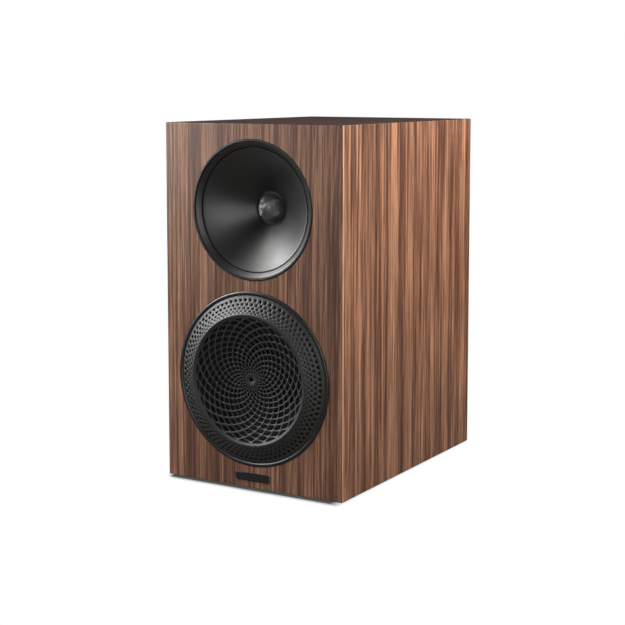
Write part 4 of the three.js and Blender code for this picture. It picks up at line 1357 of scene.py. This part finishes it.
def screw_outline(head, seat, direction, head_radius=3.2, shank=1.9, length=13):
    """A pan-head screw with a hexagonal socket; direction is +1 with its tip to the rear."""
    top = seat - head * direction
    turns = []
    for i in range(9):
        y = seat + direction * (1.2 + i * 1.15)
        turns += [(shank - 0.45, y, 0.05), (shank, y + direction * 0.55, 0.05)]
    return [
        (0, top + direction * 1.3),
        (1.45, top + direction * 1.3, 0.1),
        (1.45, top + direction * 0.1, 0.15),
        (2.1, top, 0.1),
        (head_radius - 0.5, top + direction * 0.25, 0.4),
        (head_radius, seat - direction * 0.7, 0.5),
        (head_radius, seat, 0.15),
        (shank - 0.3, seat, 0.05),
        *turns,
        (shank - 0.6, seat + direction * (length - 1.6)),
        (0, seat + direction * length),
    ]


def build_screws():
    groups = (("tweeter_screw_", 3, 1), ("woofer_screw_", 4, 1), ("terminal_screw_", 4, -1))
    for prefix, count, direction in groups:
        for i in range(count):
            node = f"{prefix}{i + 1}"
            _, front, back = reach(node)
            head = 2.1
            seat = front + head if direction > 0 else back - head
            outline = screw_outline(head, seat, direction)
            new_turned(f"socket_{node}", outline, node, steps=48, shape=hexagon(1.9))


def build_terminal_plate():
    x0, y0, z0, x1, y1, z1 = board_corners(*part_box("terminal_plate"))
    holes = []
    for colour in ("black", "red"):
        post = axis_of(f"{colour}_post_stud") / MM
        holes.append([(circle(post.x, post.z, 3.3, 64), depth) for depth in (y1, y0)])
        ring = [(3.4, 0), (8.1, 0, 0.1), (7.9, 0.22, 0.1), (3.4, 0.22)]
        new_piece(
            f"{colour}_polarity_ring", turned(ring, 72, 0.05), "terminal_plate",
            at=axis_of(f"{colour}_post_stud") + Vector((0, y1 * MM, 0)),
            finish=look(f"{colour}_knob"), stands_for=False,
        )
    for i in range(4):
        screw = axis_of(f"terminal_screw_{i + 1}") / MM
        countersink = ((2.35, y1), (2.2, y1 - 0.3), (2.2, y0))
        holes.append([(circle(screw.x, screw.z, radius, 32), depth) for radius, depth in countersink])
    rings = [(1.0, y1), (0.45, y1 - 0.12), (0.12, y1 - 0.45), (0, y1 - 1.0), (0, y0)]
    shape = slab((x0, z0), (x1, z1), rings, 6.0, holes, 10)
    new_piece("moulded_plate", upright(shape), "terminal_plate", crease=FLAT_CREASE)


def knob_ribs(radius_from, count, height):
    def shape(radius, y, angle):
        if radius < radius_from:
            return radius
        return radius - height * (0.5 + 0.5 * math.cos(count * angle)) ** 2
    return shape


def build_posts():
    for colour in ("black", "red"):
        node = f"{colour}_post_stud"
        radius, front, back = reach(node)
        thread = []
        threaded_back = back - 5.0
        for i in range(int((threaded_back - front - 3) / 1.0)):
            y = threaded_back - i * 1.0
            thread += [(radius, y, 0.05), (radius - 0.42, y - 0.5, 0.05)]
        outline = [
            (0, front),
            (radius - 0.5, front, 0.2),
            *thread[::-1],
            (radius, back - 0.5, 0.2),
            (radius - 0.5, back, 0.1),
            (2.35, back, 0.1),
            (2.0, back - 0.4, 0.1),
            (2.0, back - 16, 0),
            (0, back - 16),
        ]
        new_turned(f"{colour}_threaded_stud", outline, node, steps=64)
        collar = f"{colour}_post_collar"
        radius, front, back = reach(collar)
        new_turned(
            f"{colour}_collar", [(3.3, front), (radius, front, 0.5), (radius, back, 0.5), (3.3, back)],
            collar, steps=72,
        )
        knob = f"{colour}_post_knob"
        radius, front, back = reach(knob)
        outline = [
            (3.3, front),
            (radius - 0.9, front, 0.2),
            (radius - 0.2, front + 0.8, 0.4),
            (radius - 0.25, front + 1.6, 0.1),
            (radius, front + 1.9, 0.2),
            (radius, back - 2.6, 0.4),
            (radius - 0.5, back - 2.2, 0.2),
            (radius - 1.0, back - 0.7, 0.6),
            (radius - 2.0, back, 0.5),
            (4.3, back, 0.2),
            (3.9, back - 0.7, 0.2),
            (3.3, back - 0.7, 0.1),
        ]
        new_turned(
            f"{colour}_ribbed_knob", outline, knob, steps=288, shape=knob_ribs(radius - 0.05, 24, 0.45),
        )


def build_crossover():
    x0, y0, z0, x1, y1, z1 = board_corners(*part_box("crossover_board"))
    holes = []
    for colour in ("black", "red"):
        post = axis_of(f"{colour}_post_stud") / MM
        holes.append([(circle(post.x, post.z, 3.35, 48), depth) for depth in (y0, y1)])
    for x in (x0 + 4, x1 - 4):
        for z in (z0 + 4, z1 - 4):
            holes.append([(circle(x, z, 1.6, 24), depth) for depth in (y0, y1)])
    rings = [(0.15, y0), (0, y0 + 0.15), (0, y1 - 0.15), (0.15, y1)]
    board = upright(slab((x0, z0), (x1, z1), rings, 1.5, holes))
    new_piece("filter_board", board, "crossover_board", crease=FLAT_CREASE)
    wound_ring("filter_inductor_large", "inductor_large", 6, 1.15)
    wound_ring("filter_inductor_small", "inductor_small", 4, 0.9)
    low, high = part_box("capacitor")
    middle = (low + high) / 2
    radius = (high.y - low.y) / 2 / MM
    half = (high.z - low.z) / 2 / MM
    can = [(0, 0.6), (radius - 1.2, 0.6, 0.2), (radius - 0.9, 0, 0.3), (radius, 0.6, 0.5),
           (radius, 2 * half - 0.6, 0.5), (radius - 0.9, 2 * half, 0.3), (radius - 1.2, 2 * half - 0.6, 0.2),
           (0, 2 * half - 0.6)]
    points, faces = turned(can, 96)
    standing = [(x, z, y - half) for x, y, z in points]
    new_piece("film_capacitor", (standing, faces), "capacitor", at=middle)
    for end in (-1, 1):
        disc = [(0, 0), (radius - 1.35, 0, 0.2), (radius - 1.35, 0.45, 0.2), (0, 0.45)]
        points, faces = turned(disc, 64)
        placed = [(x, z, end * (half - 0.58 + y)) for x, y, z in points]
        new_piece(
            "capacitor_end_" + ("top" if end > 0 else "low"), (placed, faces), "capacitor", at=middle,
            finish=look("capacitor_end"), stands_for=False,
        )


def wound_ring(name, node, inside, wire):
    """An air-cored inductor with its turns of enamelled wire showing on every side."""
    outside, front, back = reach(node)
    across = int((outside - inside) / wire)
    along = int((back - front) / wire)
    ridges = []
    for count, start, end, angle in (
        (across, (inside, front), (outside, front), -90),
        (along, (outside, front), (outside, back), 0),
        (across, (outside, back), (inside, back), 90),
        (along, (inside, back), (inside, front), 180),
    ):
        start, end = Vector(start), Vector(end)
        size = (end - start).length / count / 2
        inward = Vector((math.cos(math.radians(angle)), math.sin(math.radians(angle)))) * size
        for i in range(count):
            middle = start.lerp(end, (i + 0.5) / count) - inward
            ridges += arc(middle.x, middle.y, size, angle - 70, angle + 70, 3)
    new_turned(name, ridges, node, steps=96, fillet=0)


def build_leads():
    """A twisted pair along each lead's route, one conductor red and one black."""
    woofer = axis_of("woofer_trim_ring") / MM
    tweeter = axis_of("tweeter_trim_ring") / MM
    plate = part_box("terminal_plate")
    terminal = (plate[0].z + plate[1].z) / 2 / MM
    joint = woofer.z + reach("woofer_trim_ring")[0]
    end = reach("crossover_board")[1] - 2.0
    strip = woofer.z + 55
    start = reach("woofer_terminal_strip")[2] + 2.0
    motor = reach("tweeter_front_plate")[1]
    routes = {
        "woofer_lead": [
            (-4, start, strip),
            (-14, start + 14, strip + 2),
            (-40, 90, strip - 4),
            (-58, 130, strip - 16),
            (-52, 185, strip - 40),
            (-36, end - 22, terminal + 12),
            (-24, end, terminal - 6),
        ],
        "tweeter_lead": [
            (34, motor + 12, tweeter.z - 24),
            (44, motor + 26, tweeter.z - 34),
            (54, 100, joint + 34),
            (60, 160, joint + 34),
            (50, 210, joint - 10),
            (24, end - 20, terminal + 52),
            (4, end, terminal + 38),
        ],
    }
    for node, points in routes.items():
        route = smooth_route(points, 26)
        for colour, phase, sleeve in (("black", 0.0, "lead_sleeve"), ("red", math.pi, "lead_sleeve_red")):
            path = []
            travelled = 0.0
            side = Vector((1, 0, 0))
            for i, point in enumerate(route):
                ahead = (route[min(i + 1, len(route) - 1)] - route[max(i - 1, 0)]).normalized()
                side = (side - ahead * side.dot(ahead)).normalized()
                travelled += (point - route[i - 1]).length if i else 0.0
                angle = phase + TURN * travelled / 15
                path.append(point + (side * math.cos(angle) + ahead.cross(side) * math.sin(angle)) * 0.85)
            new_piece(
                f"{node}_{colour}", swept(path, 0.82, 10), node, finish=look(sleeve),
                stands_for=colour == "black", crease=60,
            )


def build_wadding():
    """A loose pad of fibre: a crowned block pushed in and out by tufts."""
    low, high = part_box("acoustic_wadding")
    size = high - low
    middle = (low + high) / 2
    work = bmesh.new()
    bmesh.ops.create_cube(work, size=1.0)
    bmesh.ops.subdivide_edges(work, edges=work.edges, cuts=23, use_grid_fill=True)
    draw = random.Random(5)
    waves = []
    for _ in range(26):
        direction = Vector((draw.uniform(-1, 1), draw.uniform(-1, 1), draw.uniform(-1, 1)))
        wave = direction * draw.uniform(80, 420)
        waves.append((wave, draw.uniform(0, TURN)))
    for vertex in work.verts:
        unit = vertex.co * 2
        x, y, z = (abs(side) ** 4 for side in unit)
        pull = 1 - 0.10 * (x * y + x * z + y * z)
        point = Vector((vertex.co.x * size.x, vertex.co.y * size.y, vertex.co.z * size.z)) * pull * 0.955
        tuft = sum(math.sin(point.dot(wave) + phase) for wave, phase in waves) / len(waves)
        crown = 1 + tuft * 0.05
        vertex.co = Vector((point.x * crown, point.y * crown, point.z * (1 + tuft * 0.14)))
    mesh_points = [vertex.co / MM for vertex in work.verts]
    mesh_faces = [[vertex.index for vertex in face.verts] for face in work.faces]
    work.free()
    piece = new_piece("fibre_pad", (mesh_points, mesh_faces), "acoustic_wadding", at=middle, crease=180)


# ---- Stage -----------------------------------------------------------------------------------------------

CAMERA_PLACE = (0.7451, -1.2726, 0.3933)
CAMERA_TURN = 31.0
CAMERA_DIP = 5.956
CAMERA_RISE = -0.13  # upward share of the lens shift, which brings the uprights nearer to parallel


def add_softbox(name, azimuth, elevation, distance, width, height, power, colour):
    """An area light that faces the cabinet; azimuth 0 is in front and 90 on the right."""
    lamp = bpy.data.lights.new(name, "AREA")
    lamp.shape = "RECTANGLE"
    lamp.size = width
    lamp.size_y = height
    lamp.energy = power
    lamp.color = colour
    box = bpy.data.objects.new(name, lamp)
    bpy.context.scene.collection.objects.link(box)
    a, e = math.radians(azimuth), math.radians(elevation)
    away = Vector((math.sin(a) * math.cos(e), -math.cos(a) * math.cos(e), math.sin(e)))
    aim = (CABINET_LOW + CABINET_HIGH) / 2
    box.location = aim + away * distance
    box.rotation_euler = away.to_track_quat("Z", "Y").to_euler()
    box.visible_camera = False


def build_floor():
    """A white floor. The camera sees it as a glowing white sheet with a painted contact shadow, darker only
    where the cabinet stands close over it; along the cabinet's right side the painted shadow is lifted to
    full white, as painted light from the right. All else sees it as a dim matt floor."""
    points, faces = turned([(0, 0), (0.3, 0), (0.8, 0), (2, 0), (9, 0)], 96, 0, closed=False)
    mesh = bpy.data.meshes.new("floor")
    mesh.from_pydata([(x, z, 0) for x, _, z in points], [], faces)
    mesh.shade_smooth()
    floor = bpy.data.objects.new("floor", mesh)
    bpy.context.scene.collection.objects.link(floor)
    made = bpy.data.materials.new("pale_floor")
    made.use_nodes = True
    tree = made.node_tree
    tree.nodes.clear()
    # Painted contact shadow: the glow dims where ambient occlusion finds the cabinet close.
    open_sky = put(tree, "ShaderNodeAmbientOcclusion", {"Distance": 0.013}, samples=24).outputs["AO"]
    glow_with_painted_shadow = spread(tree, open_sky, 0.40, 0.80, 0.08, 1.0)
    # Painted light: beside the cabinet's right side the painted shadow is lifted to full white.
    beside = put(tree, "ShaderNodeSeparateXYZ", {0: place_of(tree)}).outputs[0]
    glow_with_painted_shadow = calc(tree, "MAXIMUM", glow_with_painted_shadow, spread(tree, beside, 0.084, 0.099, 0.0, 1.0))
    seen = put(tree, "ShaderNodeEmission", {"Color": (1, 1, 1, 1), "Strength": glow_with_painted_shadow})
    unseen = put(tree, "ShaderNodeBsdfDiffuse", {"Color": (0.16, 0.155, 0.15, 1)})
    camera_ray = put(tree, "ShaderNodeLightPath").outputs["Is Camera Ray"]
    surface = put(tree, "ShaderNodeMixShader", {0: camera_ray, 1: unseen.outputs[0], 2: seen.outputs[0]})
    put(tree, "ShaderNodeOutputMaterial", {"Surface": surface.outputs[0]})
    mesh.materials.append(made)


def build_room():
    world = bpy.data.worlds.new("room")
    bpy.context.scene.world = world
    world.use_nodes = True
    tree = world.node_tree
    tree.nodes.clear()
    strength = bpy.context.scene.stage.room
    room = put(tree, "ShaderNodeBackground", {"Color": (1, 0.985, 0.97, 1), "Strength": strength})
    seen = put(tree, "ShaderNodeBackground", {"Color": (1, 1, 1, 1), "Strength": 1.0})
    camera_ray = put(tree, "ShaderNodeLightPath").outputs["Is Camera Ray"]
    either = put(tree, "ShaderNodeMixShader", {0: camera_ray, 1: room.outputs[0], 2: seen.outputs[0]})
    put(tree, "ShaderNodeOutputWorld", {"Surface": either.outputs[0]})
    bpy.context.scene.view_settings.view_transform = "Standard"


def build_camera():
    camera = bpy.data.cameras.new("camera")
    camera.lens = bpy.context.scene.stage.focal
    camera.sensor_width = 36
    camera.shift_y = CAMERA_RISE
    camera.clip_end = 50
    holder = bpy.data.objects.new("camera", camera)
    holder.location = CAMERA_PLACE
    holder.rotation_euler = (math.radians(90 - CAMERA_DIP), 0, math.radians(CAMERA_TURN))
    bpy.context.scene.collection.objects.link(holder)
    bpy.context.scene.camera = holder


def build_lights():
    stage = bpy.context.scene.stage
    add_softbox("key_light", -64, 36, 0.85, 0.4, 0.4, stage.key_power, (1.0, 0.985, 0.96))
    add_softbox("sheen_light", -54, 18, 0.80, 0.3, 0.4, stage.sheen_power, (0.97, 0.985, 1.0))
    add_softbox("side_light", 92, 38, 0.66, 0.5, 0.25, stage.side_power, (1.0, 0.95, 0.89))
    add_softbox("front_light", 31, 8, 1.7, 0.45, 1.1, stage.front_power, (1.0, 0.99, 0.98))
    add_softbox("back_light", 196, 8, 1.6, 0.8, 0.8, stage.back_power, (1.0, 0.98, 0.96))


# ---- Operators and panel ---------------------------------------------------------------------

class SPEAKER_OT_cabinet(bpy.types.Operator):
    """Builds the six veneered and painted boards and the brace"""
    bl_idname = "speaker.cabinet"
    bl_label = "Cabinet"

    def execute(self, context):
        build_baffle()
        left = side_veneer("walnut_veneer_left", FACE, 4.13)
        right = side_veneer("walnut_veneer_right", FACE, 2.41)
        build_side("left_panel", -1, left)
        build_side("right_panel", 1, right)
        build_cap_board("top_panel", 1)
        build_cap_board("bottom_panel", -1)
        build_rear_board()
        build_brace()
        return {"FINISHED"}


class SPEAKER_OT_feet(bpy.types.Operator):
    """Builds the four rubber feet"""
    bl_idname = "speaker.feet"
    bl_label = "Feet"

    def execute(self, context):
        build_feet()
        return {"FINISHED"}


class SPEAKER_OT_badge(bpy.types.Operator):
    """Builds the blank polished badge"""
    bl_idname = "speaker.badge"
    bl_label = "Badge"

    def execute(self, context):
        build_badge()
        return {"FINISHED"}


class SPEAKER_OT_horn(bpy.types.Operator):
    """Builds the tweeter's trim ring and waveguide"""
    bl_idname = "speaker.horn"
    bl_label = "Horn"

    def execute(self, context):
        build_horn_ring()
        build_horn()
        return {"FINISHED"}


class SPEAKER_OT_guard(bpy.types.Operator):
    """Builds the woven wire guard over the dome"""
    bl_idname = "speaker.guard"
    bl_label = "Mesh guard"

    def execute(self, context):
        build_mesh_guard()
        return {"FINISHED"}


class SPEAKER_OT_dome(bpy.types.Operator):
    """Builds the cloth dome with its surround and coil"""
    bl_idname = "speaker.dome"
    bl_label = "Dome"

    def execute(self, context):
        build_dome()
        return {"FINISHED"}


class SPEAKER_OT_dome_motor(bpy.types.Operator):
    """Builds the tweeter's plate, magnet, yoke and back chamber"""
    bl_idname = "speaker.dome_motor"
    bl_label = "Tweeter motor"

    def execute(self, context):
        build_tweeter_motor()
        return {"FINISHED"}


class SPEAKER_OT_bezel(bpy.types.Operator):
    """Builds the woofer's trim ring"""
    bl_idname = "speaker.bezel"
    bl_label = "Bezel"

    def execute(self, context):
        build_bezel()
        return {"FINISHED"}


class SPEAKER_OT_lens(bpy.types.Operator):
    """Builds the pressed lens with its openings"""
    bl_idname = "speaker.lens"
    bl_label = "Perforated lens"

    def execute(self, context):
        build_lens()
        return {"FINISHED"}


class SPEAKER_OT_basket(bpy.types.Operator):
    """Builds the woofer's pressed frame and lead strip"""
    bl_idname = "speaker.basket"
    bl_label = "Basket"

    def execute(self, context):
        build_basket()
        return {"FINISHED"}


class SPEAKER_OT_cone(bpy.types.Operator):
    """Builds the woofer's cone, dust cap and coil"""
    bl_idname = "speaker.cone"
    bl_label = "Cone"

    def execute(self, context):
        build_cone()
        return {"FINISHED"}


class SPEAKER_OT_suspension(bpy.types.Operator):
    """Builds the woofer's rubber surround and cloth spider"""
    bl_idname = "speaker.suspension"
    bl_label = "Suspension"

    def execute(self, context):
        build_woofer_surround()
        build_spider()
        return {"FINISHED"}


class SPEAKER_OT_woofer_motor(bpy.types.Operator):
    """Builds the woofer's plate, magnet and yoke"""
    bl_idname = "speaker.woofer_motor"
    bl_label = "Woofer motor"

    def execute(self, context):
        build_woofer_motor()
        return {"FINISHED"}


class SPEAKER_OT_port(bpy.types.Operator):
    """Builds the flared reflex port"""
    bl_idname = "speaker.port"
    bl_label = "Port"

    def execute(self, context):
        build_port()
        return {"FINISHED"}


class SPEAKER_OT_screws(bpy.types.Operator):
    """Builds every socket-head screw"""
    bl_idname = "speaker.screws"
    bl_label = "Screws"

    def execute(self, context):
        build_screws()
        return {"FINISHED"}


class SPEAKER_OT_terminals(bpy.types.Operator):
    """Builds the terminal plate and the two binding posts"""
    bl_idname = "speaker.terminals"
    bl_label = "Terminals"

    def execute(self, context):
        build_terminal_plate()
        build_posts()
        return {"FINISHED"}


class SPEAKER_OT_crossover(bpy.types.Operator):
    """Builds the filter board and what stands on it"""
    bl_idname = "speaker.crossover"
    bl_label = "Crossover"

    def execute(self, context):
        build_crossover()
        return {"FINISHED"}


class SPEAKER_OT_leads(bpy.types.Operator):
    """Builds the twisted leads from the filter to the drivers"""
    bl_idname = "speaker.leads"
    bl_label = "Leads"

    def execute(self, context):
        build_leads()
        return {"FINISHED"}


class SPEAKER_OT_wadding(bpy.types.Operator):
    """Builds the pad of loose fibre"""
    bl_idname = "speaker.wadding"
    bl_label = "Wadding"

    def execute(self, context):
        build_wadding()
        return {"FINISHED"}


class SPEAKER_OT_stage(bpy.types.Operator):
    """Builds the floor, room, lights and camera"""
    bl_idname = "speaker.stage"
    bl_label = "Stage"

    def execute(self, context):
        build_floor()
        build_room()
        build_lights()
        build_camera()
        return {"FINISHED"}


OPERATORS = (
    SPEAKER_OT_cabinet,
    SPEAKER_OT_feet,
    SPEAKER_OT_badge,
    SPEAKER_OT_horn,
    SPEAKER_OT_guard,
    SPEAKER_OT_dome,
    SPEAKER_OT_dome_motor,
    SPEAKER_OT_bezel,
    SPEAKER_OT_lens,
    SPEAKER_OT_basket,
    SPEAKER_OT_cone,
    SPEAKER_OT_suspension,
    SPEAKER_OT_woofer_motor,
    SPEAKER_OT_port,
    SPEAKER_OT_screws,
    SPEAKER_OT_terminals,
    SPEAKER_OT_crossover,
    SPEAKER_OT_leads,
    SPEAKER_OT_wadding,
    SPEAKER_OT_stage,
)


class SPEAKER_PT_panel(bpy.types.Panel):
    """Lists the speaker's settings and the operators that build it"""
    bl_idname = "SPEAKER_PT_panel"
    bl_label = "Bookshelf speaker"
    bl_space_type = "VIEW_3D"
    bl_region_type = "UI"
    bl_category = "Speaker"

    def draw(self, context):
        for settings in (context.scene.veneer, context.scene.lens, context.scene.stage):
            box = self.layout.box()
            for name in settings.__annotations__:
                box.prop(settings, name)
        for operator in OPERATORS:
            self.layout.operator(operator.bl_idname)


SETTINGS = {"veneer": VeneerSettings, "lens": LensSettings, "stage": StageSettings}


def register():
    for group in (*SETTINGS.values(), *OPERATORS, SPEAKER_PT_panel):
        bpy.utils.register_class(group)
    for name, group in SETTINGS.items():
        setattr(bpy.types.Scene, name, PointerProperty(type=group))


def unregister():
    for name in SETTINGS:
        delattr(bpy.types.Scene, name)
    for group in (SPEAKER_PT_panel, *reversed(OPERATORS), *SETTINGS.values()):
        bpy.utils.unregister_class(group)


def main():
    register()
    for operator in OPERATORS:
        group, name = operator.bl_idname.split(".")
        getattr(getattr(bpy.ops, group), name)()


if __name__ == "__main__":
    main()
